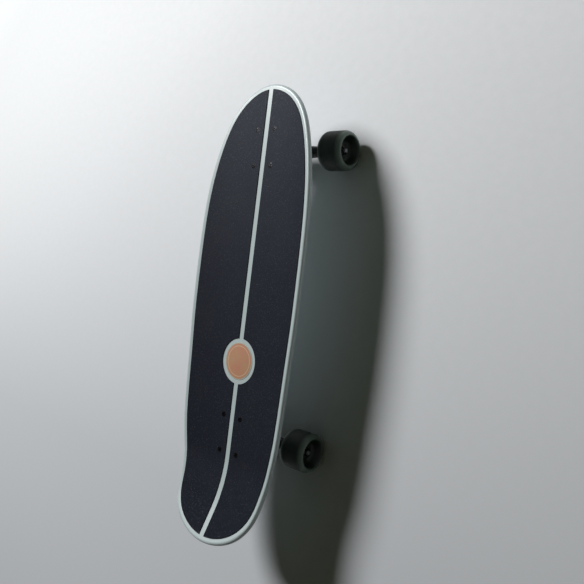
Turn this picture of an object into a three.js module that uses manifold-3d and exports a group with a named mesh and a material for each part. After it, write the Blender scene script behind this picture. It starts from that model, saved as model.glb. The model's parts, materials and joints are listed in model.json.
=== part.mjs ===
// Surf skateboard in millimetres: +X right, +Y towards the nose, +Z up, standing on its four wheels.
import * as THREE from 'three';
import { mergeVertices } from 'three/addons/utils/BufferGeometryUtils.js';
import Module from 'manifold-3d';

const wasm = await Module();
wasm.setup();

const degree = Math.PI / 180;

// Gap kept between pieces that touch, and how far a cutting tool runs past what it cuts
const clearance = 0.3;
const pocketGap = 0.6;
const overrun = 5;
const mergeTolerance = 0.001;

// Deck, measured along its curve from the middle of the rear bolt pattern
const deckLength = 809.5;
const deckWidth = 255.8;
const deckThickness = 11;
const wheelbase = 508;
const noseOverhang = 111.4;
const railRadius = 4.5;
const bowlDepth = 13;
const flatWidth = 56;
const kickStart = 37.7;
const kickRadius = 221;
const kickAngle = 25.8 * degree;
// Half width from tail to nose, as shares of the half width that a plain ellipse would not follow
const outlineShares = [1.714, 1.216, 1.072, 1.0, 1.0, 1.034, 1.116, 1.233, 1.426];
// Places across the deck, as shares of its half width there
const acrossShares = [0.2, 0.45, 0.67, 0.86];
const deckStations = 36;
const railSteps = 2;

// Grip sheets in two halves, with bare deck round them and between them
const gripThickness = 1;
const gripBorder = 9.5;
const stringerWidth = 11;
const gripEndZone = 14;
const gripEndSteps = 4;

// Round badge let into the grip
const badgeForward = 131;
const badgeWindow = 81;
const badgeDiameter = 66;
const badgeThickness = 0.7;

// Deck bolts and their nuts
const boltSpacingAcross = 41.3;
const boltSpacingAlong = 63.5;
const boltDiameter = 5;
const boltHeadDiameter = 9.4;
const boltHeadEdge = 0.5;
const boltTail = 2;
const nutAcrossFlats = 8;
const nutThickness = 5;

// Risers and truck base plates
const frontRiserThickness = 3;
const rearRiserThickness = 13;
const plateWidth = 56;
const plateThickness = 6;
const plateCorner = 12;
const plateInnerMargin = 8.5;
const rearPlateOuterMargin = 15.5;
const riserMargin = 1;

// Where the axles lie under the deck
const axleDrop = 86;
const frontAxleOffset = 10;
const rearAxleOffset = 13.5;

// Steering line of a truck, measured from the axle
const pivotOut = 16;
const pivotUp = 38;
const ringIn = 23;
const ringUp = 14;
const steerLimit = 18 * degree;

// Pivot stem and its cup
const stemRadius = 6;
const stemLength = 14;
const cupWall = 2.3;
const cupDepth = 9;
const mouthDistance = 6;
const housingWall = 3.4;
const housingBack = 12;
const housingWidth = 26;

// Kingpin, its nut and the two bushings
const kingpinTilt = 18 * degree;
const kingpinRadius = 4.75;
const kingpinHeadRadius = 7.5;
const kingpinHeadHeight = 6;
const kingpinSeatWall = 9;
const kingpinTail = 2.5;
const kingpinNutAcrossFlats = 14;
const kingpinNutHeight = 8;
const cupWasherHeight = 1.6;
const bushingRadius = 12.5;
const bushingWaist = 11.9;
const upperBushingHeight = 14;
const lowerBushingHeight = 11;
const lowerBushingTipRadius = 9.5;
const bossRadius = 14.5;

// Hanger
const hangerHalfWidth = 79;
const hangerEndRadius = 8.5;
const hangerMiddleRadius = 12;
const hangerMiddleHalf = 20;
const hangerCollarLength = 9;
const ringRadius = 17;
const ringThickness = 7;
const ringHoleRadius = 7.5;
const reliefGap = 1.5;
const neckWidth = 14;
const neckFront = 3;
const wingHalf = 52;
const wingThickness = 9;

// Axle, bearings and wheels
const axleRadius = 4;
const axleChamfer = 0.8;
const axleTail = 2.6;
const axleNutAcrossFlats = 13;
const axleNutThickness = 6;
const speedWasherSpace = 1.2;
const bearingRadius = 11;
const bearingWidth = 7;
const bearingSpacing = 10;
const wheelRadius = 35;
const wheelWidth = 51;
const wheelInset = 8.5;
const lipReach = 10;
const lipHeight = 8;
const mouthRadius = 26;
const hubRadius = 16;
const hubFaceStep = 0.8;
const hubFlare = 3.5;
const bearingShoulder = 2;

// Swing arm of the front truck
const swingTilt = 6 * degree;
const swingOut = 43;
const swingTop = 50;
const swingLimit = 35 * degree;
const eyeRadius = 20.5;
const eyeThickness = 14;
const armWidth = 28;
const armSeatTop = 46;
const armSeatIn = 30;
const armEndHeight = 9;
const armBelly = 37;
const armInset = 10;
const armTopDrop = 1.5;
const swingBoltRadius = 5;
const swingBoltHeadRadius = 8;
const swingBoltHeadHeight = 5;
const swingNutAcrossFlats = 16;
const swingNutHeight = 8;
const swingBoltTail = 2;
const swingBearingRadius = 13;
const swingBearingHeight = 4;

// Return spring round the hub of the front base plate
const springWire = 2.8;
const springRadius = 16.6;
const springCurls = 2.5;
const springPitch = 3.4;
const springLeg = 4;
const springBend = 3;
const springLegGap = 0.9;
const curlSteps = 8;
const wireSides = 5;
const bendSteps = 3;

// Faces round turned pieces
const wheelFaces = 24;
const eyeFaces = 20;
const bearingFaces = 16;
const turnedFaces = 16;
const smallFaces = 8;
const cornerSteps = 2;
const boreSteps = 6;
const hexagonSides = 6;
const tipStep = 30 * degree;

// Worked out from the sizes above
const noseEnd = wheelbase + noseOverhang;
const tailEnd = noseEnd - deckLength;
const gripTop = clearance + gripThickness;
const patternIn = { front: frontAxleOffset, rear: rearAxleOffset };

const paint = (color, roughness, metalness = 0) =>
  new THREE.MeshStandardMaterial({ color, roughness, metalness });
const finishes = {
  deck: paint(0xb9c6c3, 0.42),
  grip: paint(0x2c2c36, 0.95),
  badge: paint(0xd98a6c, 0.5),
  blackSteel: paint(0x16171a, 0.4, 0.8),
  riser: paint(0x151617, 0.85),
  cast: paint(0x1b1c1f, 0.5, 0.6),
  bushing: paint(0x23302c, 0.6),
  steel: paint(0x8c9094, 0.3, 1),
  wheel: paint(0x33413b, 0.45),
};

// A point in the upright plane through the board's centre line
const inPlane = (y, z) => new THREE.Vector3(0, y, z);

// One closed body from loose geometry: shared vertices merged and collapsed faces left out
function closed(geometry) {
  const bare = geometry.clone();
  bare.deleteAttribute('normal');
  bare.deleteAttribute('uv');
  const merged = mergeVertices(bare, mergeTolerance);
  const corners = merged.index.array;
  const kept = [];
  for (let i = 0; i < corners.length; i += 3) {
    const [a, b, c] = [corners[i], corners[i + 1], corners[i + 2]];
    if (a !== b && b !== c && c !== a) kept.push(a, b, c);
  }
  merged.setIndex(kept);
  return merged;
}

function toSolid(geometry) {
  const body = closed(geometry);
  const vertProperties = Float32Array.from(body.getAttribute('position').array);
  const triVerts = Uint32Array.from(body.index.array);
  return new wasm.Manifold(new wasm.Mesh({ numProp: 3, vertProperties, triVerts }));
}

function toGeometry(solid) {
  const { vertProperties, triVerts } = solid.getMesh();
  const geometry = new THREE.BufferGeometry();
  geometry.setAttribute('position', new THREE.BufferAttribute(vertProperties, 3));
  geometry.setIndex(new THREE.BufferAttribute(triVerts, 1));
  return geometry;
}

// The first piece joined with the others, and the first piece with the others cut out of it
const joined = (first, ...others) =>
  toGeometry(others.reduce((sum, other) => sum.add(toSolid(other)), toSolid(first)));
const cutFrom = (first, ...others) =>
  toGeometry(others.reduce((rest, other) => rest.subtract(toSolid(other)), toSolid(first)));

// A profile of [radius, height] corners turned about +Z
function turned(corners, faces) {
  const points = corners.map(([radius, height]) => new THREE.Vector2(radius, height));
  if (THREE.ShapeUtils.area(points) < 0) points.reverse();
  const onAxis = points.some((point) => point.x === 0);
  if (onAxis) {
    // the profile has to start at its lowest corner on the axis
    while (points[0].x !== 0 || points.at(-1).x !== 0) points.push(points.shift());
  } else {
    points.push(points[0].clone());
  }
  const halfFace = Math.PI / faces;
  const geometry = new THREE.LatheGeometry(points, faces, halfFace);
  return geometry.rotateX(Math.PI / 2);
}

const rod = (radius, from, to, faces) =>
  turned([[0, from], [radius, from], [radius, to], [0, to]], faces);

const ring = (inner, outer, from, to, faces) =>
  turned([[inner, from], [outer, from], [outer, to], [inner, to]], faces);

// A flat outline in X and Y raised along Z
function prism(shape, from, to, curveSegments = cornerSteps) {
  const options = { depth: to - from, bevelEnabled: false, curveSegments };
  const geometry = new THREE.ExtrudeGeometry(shape, options);
  return geometry.translate(0, 0, from);
}

// A side outline in Y and Z given a width along X
function slab(corners, width) {
  const shape = new THREE.Shape(corners.map((point) => new THREE.Vector2(point.y, point.z)));
  const geometry = new THREE.ExtrudeGeometry(shape, { depth: width, bevelEnabled: false });
  geometry.translate(0, 0, -width / 2);
  const turn = new THREE.Matrix4().makeBasis(
    new THREE.Vector3(0, 1, 0), new THREE.Vector3(0, 0, 1), new THREE.Vector3(1, 0, 0));
  return geometry.applyMatrix4(turn);
}

const nutCorner = (acrossFlats) => acrossFlats / Math.sqrt(3);

function hexagonNut(acrossFlats, boreRadius, height) {
  const corner = nutCorner(acrossFlats);
  const shape = new THREE.Shape();
  for (let i = 0; i < hexagonSides; i += 1) {
    const turn = i * 2 * Math.PI / hexagonSides;
    const place = [corner * Math.cos(turn), corner * Math.sin(turn)];
    if (i === 0) shape.moveTo(...place);
    else shape.lineTo(...place);
  }
  const bore = new THREE.Path();
  bore.absarc(0, 0, boreRadius, 0, 2 * Math.PI);
  shape.holes.push(bore);
  return prism(shape, 0, height, boreSteps);
}

function roundedPlate(width, from, to, corner) {
  const half = width / 2;
  const reach = half - corner;
  const shape = new THREE.Shape();
  shape.absarc(reach, from + corner, corner, -Math.PI / 2, 0);
  shape.absarc(reach, to - corner, corner, 0, Math.PI / 2);
  shape.absarc(-reach, to - corner, corner, Math.PI / 2, Math.PI);
  shape.absarc(-reach, from + corner, corner, Math.PI, Math.PI * 3 / 2);
  return shape;
}

// Geometry made about +Z, set down at a place with its +Z along a direction
function aimed(geometry, place, direction) {
  const turn = new THREE.Quaternion().setFromUnitVectors(new THREE.Vector3(0, 0, 1), direction);
  const matrix = new THREE.Matrix4().makeRotationFromQuaternion(turn).setPosition(place);
  return geometry.applyMatrix4(matrix);
}

// Faces between rings of points, where each ring is closed and the end rings have no width
function skinned(rings) {
  const positions = rings.flat().flatMap((point) => [point.x, point.y, point.z]);
  const count = rings[0].length;
  const index = [];
  for (let i = 0; i + 1 < rings.length; i += 1) {
    for (let j = 0; j < count; j += 1) {
      const next = (j + 1) % count;
      const [a, b] = [i * count + j, i * count + next];
      const [c, d] = [(i + 1) * count + next, (i + 1) * count + j];
      index.push(a, b, c, a, c, d);
    }
  }
  const geometry = new THREE.BufferGeometry();
  geometry.setAttribute('position', new THREE.Float32BufferAttribute(positions, 3));
  geometry.setIndex(index);
  return closed(geometry);
}

function named(name, geometry, material) {
  const mesh = new THREE.Mesh(geometry, material);
  mesh.name = name;
  return mesh;
}

// Deck

// Height, place and slope of the deck's centre line at a distance along it
function profileAt(along) {
  if (along > -kickStart) return { y: along, z: 0, slope: 0 };
  const past = -kickStart - along;
  const slope = Math.min(past / kickRadius, kickAngle);
  const straight = past - slope * kickRadius;
  const y = -kickStart - kickRadius * Math.sin(slope) - straight * Math.cos(slope);
  const z = kickRadius * (1 - Math.cos(slope)) + straight * Math.sin(slope);
  return { y, z, slope };
}

function bowlAt(x) {
  const flat = flatWidth / 2;
  const out = Math.max(0, Math.abs(x) - flat) / (deckWidth / 2 - flat);
  return bowlDepth * out * out;
}

function deckPoint(x, along, height) {
  const { y, z, slope } = profileAt(along);
  const rise = bowlAt(x) + height;
  return new THREE.Vector3(x, y + rise * Math.sin(slope), z + rise * Math.cos(slope));
}

const outline = new THREE.SplineCurve(outlineShares.map((share, i) => new THREE.Vector2(i, share)));

function halfWidthAt(along, inset) {
  const from = tailEnd + inset;
  const to = noseEnd - inset;
  const place = THREE.MathUtils.clamp((along - from) / (to - from), 0, 1);
  const ellipse = 2 * Math.sqrt(place * (1 - place));
  return (deckWidth / 2 - inset) * outline.getPoint(place).y * ellipse;
}

// Stations crowd together towards the ends, as the outline turns fastest there
const stationShare = (i, count) => (1 - Math.cos(Math.PI * i / count)) / 2;
const stationAt = (share, inset) => tailEnd + inset + share * (deckLength - 2 * inset);

// Rail from the top edge down to the bottom edge
function railLevels() {
  const upper = [];
  for (let i = 0; i <= railSteps; i += 1) {
    const turn = Math.PI / 2 * i / railSteps;
    const inset = railRadius * (1 - Math.sin(turn));
    upper.push({ inset, height: -railRadius * (1 - Math.cos(turn)) });
  }
  const lower = upper.map(({ inset, height }) => ({ inset, height: -deckThickness - height }));
  return [...upper, ...lower.reverse()];
}

function deckBlank() {
  const levels = railLevels();
  const across = [...acrossShares.map((share) => -share).reverse(), ...acrossShares];
  const rings = [];
  for (let i = 0; i <= deckStations; i += 1) {
    const share = stationShare(i, deckStations);
    const railPoint = (side, { inset, height }) => {
      const along = stationAt(share, inset);
      return deckPoint(side * halfWidthAt(along, inset), along, height);
    };
    const row = ({ inset, height }) => across.map((part) => {
      const along = stationAt(share, inset);
      return deckPoint(part * halfWidthAt(along, inset), along, height);
    });
    rings.push([
      ...row(levels[0]),
      ...levels.map((level) => railPoint(1, level)),
      ...row(levels.at(-1)).reverse(),
      ...levels.map((level) => railPoint(-1, level)).reverse(),
    ]);
  }
  return skinned(rings);
}

// Bolt pattern corners round the middle of each truck
const boltPlaces = [];
for (const [end, middle, outward] of [['front', wheelbase, 1], ['rear', 0, -1]]) {
  for (const [row, along] of [['outer', outward], ['inner', -outward]]) {
    for (const [side, across] of [['left', -1], ['right', 1]]) {
      const x = across * boltSpacingAcross / 2;
      const y = middle + along * boltSpacingAlong / 2;
      boltPlaces.push({ name: `${end}_${row}_${side}`, end, x, y });
    }
  }
}

// Countersunk bolt, and the same profile grown by the clearance for its hole
function boltProfile(grow, top, bottom) {
  const head = boltHeadDiameter / 2 + grow;
  const shank = boltDiameter / 2 + grow;
  const cone = gripTop - boltHeadEdge;
  return [[0, bottom], [shank, bottom], [shank, cone - (head - shank)], [head, cone], [head, top], [0, top]];
}

const boltHoles = () => boltPlaces.map(({ x, y }) =>
  turned(boltProfile(clearance, gripTop + overrun, -deckThickness - overrun), smallFaces).translate(x, y, 0));

const makeDeck = () => cutFrom(deckBlank(), ...boltHoles());

function gripHalf(side) {
  const start = tailEnd + gripBorder;
  const end = noseEnd - gripBorder;
  const places = [];
  for (let i = 0; i <= deckStations; i += 1) {
    const along = stationAt(stationShare(i, deckStations), railRadius);
    if (along > start + gripEndZone && along < end - gripEndZone) places.push(along);
  }
  for (let i = gripEndSteps - 1; i >= 0; i -= 1) {
    const share = (i / gripEndSteps) ** 2;
    places.unshift(start + share * gripEndZone);
    places.push(end - share * gripEndZone);
  }
  const inner = stringerWidth / 2;
  const rings = places.map((along) => {
    const edge = Math.max(inner, halfWidthAt(along, gripBorder));
    const deckHalf = halfWidthAt(along, railRadius);
    const xs = [inner, ...acrossShares.map((share) => share * deckHalf), edge]
      .map((x) => THREE.MathUtils.clamp(x, inner, edge) * side);
    if (side < 0) xs.reverse();
    return [
      ...xs.map((x) => deckPoint(x, along, gripTop)),
      ...xs.map((x) => deckPoint(x, along, clearance)).reverse(),
    ];
  });
  const window = rod(badgeWindow / 2, -overrun, overrun, wheelFaces).translate(0, badgeForward, 0);
  return cutFrom(skinned(rings), window, ...boltHoles());
}

function makeBadge() {
  return rod(badgeDiameter / 2, clearance, clearance + badgeThickness, wheelFaces);
}

// Levels of the stack under the deck at each truck, from the deck's top downwards
function stackUnder(riserThickness) {
  const riserTop = -deckThickness - clearance;
  const riserBottom = riserTop - riserThickness;
  const plateTop = riserBottom - clearance;
  const plateBottom = plateTop - plateThickness;
  const nutTop = plateBottom - clearance;
  return { riserTop, riserBottom, plateTop, plateBottom, nutTop, boltEnd: nutTop - nutThickness - boltTail };
}
const stacks = { front: stackUnder(frontRiserThickness), rear: stackUnder(rearRiserThickness) };

// Truck frame: origin at the axle's middle, +Y towards the middle of the board, +Z up

const steerPivot = inPlane(-pivotOut, pivotUp);
const ringCentre = inPlane(ringIn, ringUp);
const steerLine = ringCentre.clone().sub(steerPivot).normalize();
const steerNormal = inPlane(-steerLine.z, steerLine.y);
const kingpinLine = inPlane(Math.sin(kingpinTilt), -Math.cos(kingpinTilt));
const swingLine = inPlane(-Math.sin(swingTilt), Math.cos(swingTilt));
const swingPivot = inPlane(-swingOut, swingTop);

const onSteerLine = (along, aside) =>
  steerPivot.clone().addScaledVector(steerLine, along).addScaledVector(steerNormal, aside);
const seatAbove = ringThickness / 2 + clearance + upperBushingHeight + clearance;
const cupRadius = stemRadius + clearance + cupWall;
const housingRadius = cupRadius + clearance + housingWall;
const plateTopAbove = (end) => axleDrop + stacks[end].plateTop;

const aroundKingpin = (geometry) => aimed(geometry, ringCentre, kingpinLine);
const aroundSwing = (geometry) => aimed(geometry, swingPivot, swingLine);

// Tools that cut the pivot cup's bore and the kingpin's bore and head pocket
function seatTools() {
  const cup = rod(cupRadius + clearance, -cupDepth - clearance, mouthDistance + overrun, turnedFaces);
  const headSeat = -seatAbove - kingpinSeatWall;
  const pocketTop = headSeat - kingpinHeadHeight - bossRadius - overrun;
  const kingpin = turned([
    [0, pocketTop], [kingpinHeadRadius + pocketGap, pocketTop],
    [kingpinHeadRadius + pocketGap, headSeat], [kingpinRadius + clearance, headSeat],
    [kingpinRadius + clearance, overrun - seatAbove], [0, overrun - seatAbove],
  ], turnedFaces);
  return [aimed(cup, steerPivot, steerLine), aroundKingpin(kingpin)];
}

const kingpinBoss = (height) => aroundKingpin(rod(bossRadius, -seatAbove - height, -seatAbove, turnedFaces));

// Half space above a level, as a tool
function above(level) {
  const reach = deckWidth;
  const box = new THREE.BoxGeometry(reach, reach, reach);
  return box.translate(0, 0, level + reach / 2);
}

// Base plate outline in the truck frame, with its outer end at a given place
function plateShape(end, outerMargin, width) {
  const middle = patternIn[end];
  const from = middle - boltSpacingAlong / 2 - outerMargin;
  const to = middle + boltSpacingAlong / 2 + plateInnerMargin;
  return roundedPlate(width, from, to, plateCorner);
}

function plateHoles(end, from, to) {
  const middle = patternIn[end];
  const tools = [];
  for (const x of [-1, 1]) {
    for (const y of [-1, 1]) {
      const hole = rod(boltDiameter / 2 + clearance, from - overrun, to + overrun, smallFaces);
      tools.push(hole.translate(x * boltSpacingAcross / 2, middle + y * boltSpacingAlong / 2, 0));
    }
  }
  return tools;
}

const frontPlateOuterMargin = swingOut + frontAxleOffset - boltSpacingAlong / 2 + eyeRadius;

function makeRearPlate() {
  const top = plateTopAbove('rear');
  const bottom = top - plateThickness;
  const inside = top - plateThickness / 2;
  const flange = prism(plateShape('rear', rearPlateOuterMargin, plateWidth), bottom, top);
  const back = onSteerLine(-housingBack, -housingRadius);
  const mouthTop = onSteerLine(mouthDistance, housingRadius);
  const housing = slab([
    mouthTop, inPlane(mouthTop.y, inside), inPlane(back.y, inside), back,
    onSteerLine(mouthDistance, -housingRadius),
  ], housingWidth);
  const boss = kingpinBoss(top);
  const blank = joined(flange, housing, boss);
  return cutFrom(blank, above(top), ...seatTools(), ...plateHoles('rear', bottom, top));
}

function makeFrontPlate() {
  const top = plateTopAbove('front');
  const bottom = top - plateThickness;
  const flange = prism(plateShape('front', frontPlateOuterMargin, plateWidth), bottom, top);
  const hubBottom = clearance + swingBearingHeight + clearance;
  const hub = aroundSwing(rod(swingBearingRadius, hubBottom, top - swingTop, turnedFaces));
  const headSeat = swingHeadSeat();
  const bolt = aroundSwing(turned([
    [0, 0], [swingBoltRadius + clearance, 0], [swingBoltRadius + clearance, headSeat],
    [swingBoltHeadRadius + clearance, headSeat],
    [swingBoltHeadRadius + clearance, headSeat + swingBoltHeadHeight + eyeRadius],
    [0, headSeat + swingBoltHeadHeight + eyeRadius],
  ], turnedFaces));
  const legHole = springLegTool(1);
  return cutFrom(joined(flange, hub), above(top), bolt, legHole, ...plateHoles('front', bottom, top));
}

// Height of the swing bolt's head seat over the arm's top face, so that the head ends under the plate's top
function swingHeadSeat() {
  const tiltRise = swingBoltHeadRadius * Math.tan(swingTilt);
  const plateTop = (plateTopAbove('front') - swingTop) / Math.cos(swingTilt);
  return plateTop - tiltRise - clearance - swingBoltHeadHeight - clearance;
}

function makeSwingArm() {
  const eye = aroundSwing(rod(eyeRadius, -eyeThickness, 0, eyeFaces));
  const shoulder = swingPivot.y + eyeRadius;
  const bossEdge = ringIn - (seatAbove * Math.sin(kingpinTilt)) - bossRadius + clearance;
  const body = slab([
    inPlane(swingPivot.y - armInset, swingTop - armTopDrop),
    inPlane(shoulder, swingTop - clearance),
    inPlane(armSeatIn - armInset / 2, armSeatTop),
    inPlane(armSeatIn, armSeatTop - armEndHeight),
    inPlane(bossEdge, armBelly),
    onSteerLine(mouthDistance, housingRadius),
    onSteerLine(mouthDistance, -housingRadius),
    onSteerLine(-housingBack, -housingRadius),
    inPlane(swingPivot.y + armInset, swingTop - eyeThickness / 2),
    inPlane(swingPivot.y - armInset, swingTop - eyeThickness / 2),
  ], armWidth);
  const boss = kingpinBoss(kingpinSeatWall + kingpinHeadHeight / 2);
  const below = -eyeThickness - clearance - swingNutHeight - overrun;
  const bolt = aroundSwing(rod(swingBoltRadius + clearance, below, overrun, turnedFaces));
  const nutSpace = nutCorner(swingNutAcrossFlats) + pocketGap;
  const spotFace = aroundSwing(rod(nutSpace, below, -eyeThickness, turnedFaces));
  return cutFrom(joined(eye, body, boss), bolt, spotFace, springLegTool(-1), ...seatTools());
}

function makeSwingBolt() {
  const seat = swingHeadSeat() + clearance;
  const end = -eyeThickness - clearance - swingNutHeight - swingBoltTail;
  return turned([
    [0, end], [swingBoltRadius, end], [swingBoltRadius, seat], [swingBoltHeadRadius, seat],
    [swingBoltHeadRadius, seat + swingBoltHeadHeight], [0, seat + swingBoltHeadHeight],
  ], turnedFaces);
}

// Spring wire's centre line: a leg up into the plate, the curls, and a leg down into the arm
const springBottom = clearance + springWire / 2;
const springTop = springBottom + springCurls * springPitch;

function springPoints() {
  const points = [];
  const steps = Math.round(springCurls * curlSteps);
  for (let i = 0; i <= steps; i += 1) {
    const turn = i / curlSteps * 2 * Math.PI;
    const height = springBottom + i / curlSteps * springPitch;
    points.push(new THREE.Vector3(springRadius * Math.cos(turn), springRadius * Math.sin(turn), height));
  }
  return [...springLegPoints(-1).reverse(), ...points, ...springLegPoints(1)];
}

// Points of the leg past the lower (-1) or upper (1) end of the curls
function springLegPoints(end) {
  const turn = end < 0 ? 0 : springCurls * 2 * Math.PI;
  const height = end < 0 ? springBottom : springTop;
  const start = new THREE.Vector3(springRadius * Math.cos(turn), springRadius * Math.sin(turn), height);
  const onward = new THREE.Vector3(-Math.sin(turn), Math.cos(turn), 0).multiplyScalar(end);
  const up = new THREE.Vector3(0, 0, end);
  const points = [];
  for (let i = 1; i <= bendSteps; i += 1) {
    const bend = Math.PI / 2 * i / bendSteps;
    points.push(start.clone()
      .addScaledVector(onward, springBend * Math.sin(bend))
      .addScaledVector(up, springBend * (1 - Math.cos(bend))));
  }
  points.push(points.at(-1).clone().addScaledVector(up, springLeg));
  return points;
}

// Hole in the plate or the arm for the spring's leg
function springLegTool(end) {
  const tip = springLegPoints(end).at(-1);
  const radius = springWire / 2 + springLegGap;
  const past = end * (springWire + springLeg);
  const [from, to] = [tip.z + end * pocketGap, tip.z - past].sort((a, b) => a - b);
  return aroundSwing(rod(radius, from, to, smallFaces).translate(tip.x, tip.y, 0));
}

// Round wire swept along points, its section carried along without twist
function sweptWire(points, radius) {
  const tangents = points.map((point, i) => {
    const before = points[Math.max(0, i - 1)];
    const after = points[Math.min(points.length - 1, i + 1)];
    return after.clone().sub(before).normalize();
  });
  const side = new THREE.Vector3(1, 0, 0).cross(tangents[0]).normalize();
  const rings = points.map((point, i) => {
    if (i > 0) {
      const turn = new THREE.Quaternion().setFromUnitVectors(tangents[i - 1], tangents[i]);
      side.applyQuaternion(turn);
    }
    const across = tangents[i].clone().cross(side);
    const section = [];
    for (let k = 0; k < wireSides; k += 1) {
      const turn = 2 * Math.PI * k / wireSides;
      section.push(point.clone()
        .addScaledVector(side, radius * Math.cos(turn))
        .addScaledVector(across, radius * Math.sin(turn)));
    }
    return section;
  });
  const tip = (point) => Array.from({ length: wireSides }, () => point.clone());
  return skinned([tip(points[0]), ...rings, tip(points.at(-1))]);
}

// Least distance between the wire's surfaces at points more than half a curl apart
function leastSpringGap() {
  const points = springPoints();
  let least = Infinity;
  for (let i = 0; i < points.length; i += 1) {
    for (let j = i + curlSteps / 2 + bendSteps; j < points.length; j += 1) {
      least = Math.min(least, points[i].distanceTo(points[j]) - springWire);
    }
  }
  return least;
}

// Quarter circle from the tip of the pivot stem out to its side
function roundTip(radius) {
  const corners = [];
  for (let turn = 0; turn <= Math.PI / 2 + tipStep / 2; turn += tipStep) {
    corners.push([radius * Math.sin(turn), -radius * Math.cos(turn)]);
  }
  return corners;
}

function makeHanger() {
  const beam = turned([
    [0, -hangerHalfWidth], [hangerEndRadius, -hangerHalfWidth],
    [hangerEndRadius, -hangerHalfWidth + hangerCollarLength], [hangerMiddleRadius, -hangerMiddleHalf],
    [hangerMiddleRadius, hangerMiddleHalf], [hangerEndRadius, hangerHalfWidth - hangerCollarLength],
    [hangerEndRadius, hangerHalfWidth], [0, hangerHalfWidth],
  ], turnedFaces).rotateY(Math.PI / 2);
  const eye = aroundKingpin(rod(ringRadius, -ringThickness / 2, ringThickness / 2, eyeFaces));
  const wingSlope = Math.atan2(ringUp, ringIn);
  const reach = Math.hypot(ringIn, ringUp);
  const wing = new THREE.Shape([
    new THREE.Vector2(-wingHalf, -hangerEndRadius / 2), new THREE.Vector2(wingHalf, -hangerEndRadius / 2),
    new THREE.Vector2(wingHalf, hangerEndRadius / 2), new THREE.Vector2(ringRadius, reach - clearance),
    new THREE.Vector2(-ringRadius, reach - clearance), new THREE.Vector2(-wingHalf, hangerEndRadius / 2),
  ]);
  const wings = prism(wing, -wingThickness / 2, wingThickness / 2).rotateX(wingSlope);
  const neck = slab([
    onSteerLine(mouthDistance + pocketGap, -stemRadius / 2), onSteerLine(stemLength, clearance),
    inPlane(neckFront, ringUp + stemRadius),
    inPlane(ringIn - ringRadius, ringUp / 2),
    inPlane(hangerMiddleRadius / 2, -hangerMiddleRadius / 2),
    inPlane(-hangerMiddleRadius / 2, -hangerMiddleRadius / 2),
    inPlane(-hangerMiddleRadius, clearance),
  ], neckWidth);
  const stem = aimed(turned([
    ...roundTip(stemRadius), [stemRadius, stemLength], [0, stemLength],
  ], turnedFaces), steerPivot, steerLine);
  const relief = bushingRadius + reliefGap;
  const upperRelief = aroundKingpin(rod(relief, -seatAbove - overrun, -ringThickness / 2, eyeFaces));
  const lowerRelief = aroundKingpin(rod(relief, ringThickness / 2,
    ringThickness / 2 + lowerBushingHeight + kingpinNutHeight + overrun, eyeFaces));
  const hole = aroundKingpin(rod(ringHoleRadius, -overrun, overrun, turnedFaces));
  const bore = rod(axleRadius + clearance, -hangerHalfWidth - overrun, hangerHalfWidth + overrun, turnedFaces);
  bore.rotateY(Math.PI / 2);
  return cutFrom(joined(beam, eye, wings, neck, stem), upperRelief, lowerRelief, hole, bore);
}

function makeCup() {
  const inner = stemRadius + clearance;
  return turned([
    [0, -cupDepth], [cupRadius, -cupDepth], [cupRadius, mouthDistance], [inner, mouthDistance],
    ...roundTip(inner).reverse(),
  ], turnedFaces);
}

const nutBelow = ringThickness / 2 + clearance + lowerBushingHeight + cupWasherHeight + clearance;

function makeKingpin() {
  const headSeat = -seatAbove - kingpinSeatWall - clearance;
  const end = nutBelow + kingpinNutHeight + kingpinTail;
  return turned([
    [0, headSeat - kingpinHeadHeight], [kingpinHeadRadius, headSeat - kingpinHeadHeight],
    [kingpinHeadRadius, headSeat], [kingpinRadius, headSeat], [kingpinRadius, end], [0, end],
  ], turnedFaces);
}

function makeUpperBushing() {
  const top = -seatAbove + clearance;
  const bottom = -ringThickness / 2 - clearance;
  const bore = kingpinRadius + clearance;
  return turned([
    [bore, top], [bushingWaist, top], [bushingRadius, (top + bottom) / 2], [bushingWaist, bottom],
    [bore, bottom],
  ], turnedFaces);
}

function makeLowerBushing() {
  const top = ringThickness / 2 + clearance;
  const bore = kingpinRadius + clearance;
  return turned([
    [bore, top], [bushingWaist, top], [lowerBushingTipRadius, top + lowerBushingHeight],
    [bore, top + lowerBushingHeight],
  ], turnedFaces);
}

// Axle, bearings and wheels, as distances out from the middle of the axle
const innerBearingFrom = hangerHalfWidth + speedWasherSpace;
const outerBearingFrom = innerBearingFrom + bearingWidth + bearingSpacing;
const axleNutFrom = outerBearingFrom + bearingWidth + speedWasherSpace;
const axleHalf = axleNutFrom + axleNutThickness + axleTail;
const wheelFrom = innerBearingFrom - wheelInset;

function makeAxle() {
  const tip = axleRadius - axleChamfer;
  return turned([
    [0, -axleHalf], [tip, -axleHalf], [axleRadius, -axleHalf + axleChamfer],
    [axleRadius, axleHalf - axleChamfer], [tip, axleHalf], [0, axleHalf],
  ], turnedFaces);
}

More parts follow.
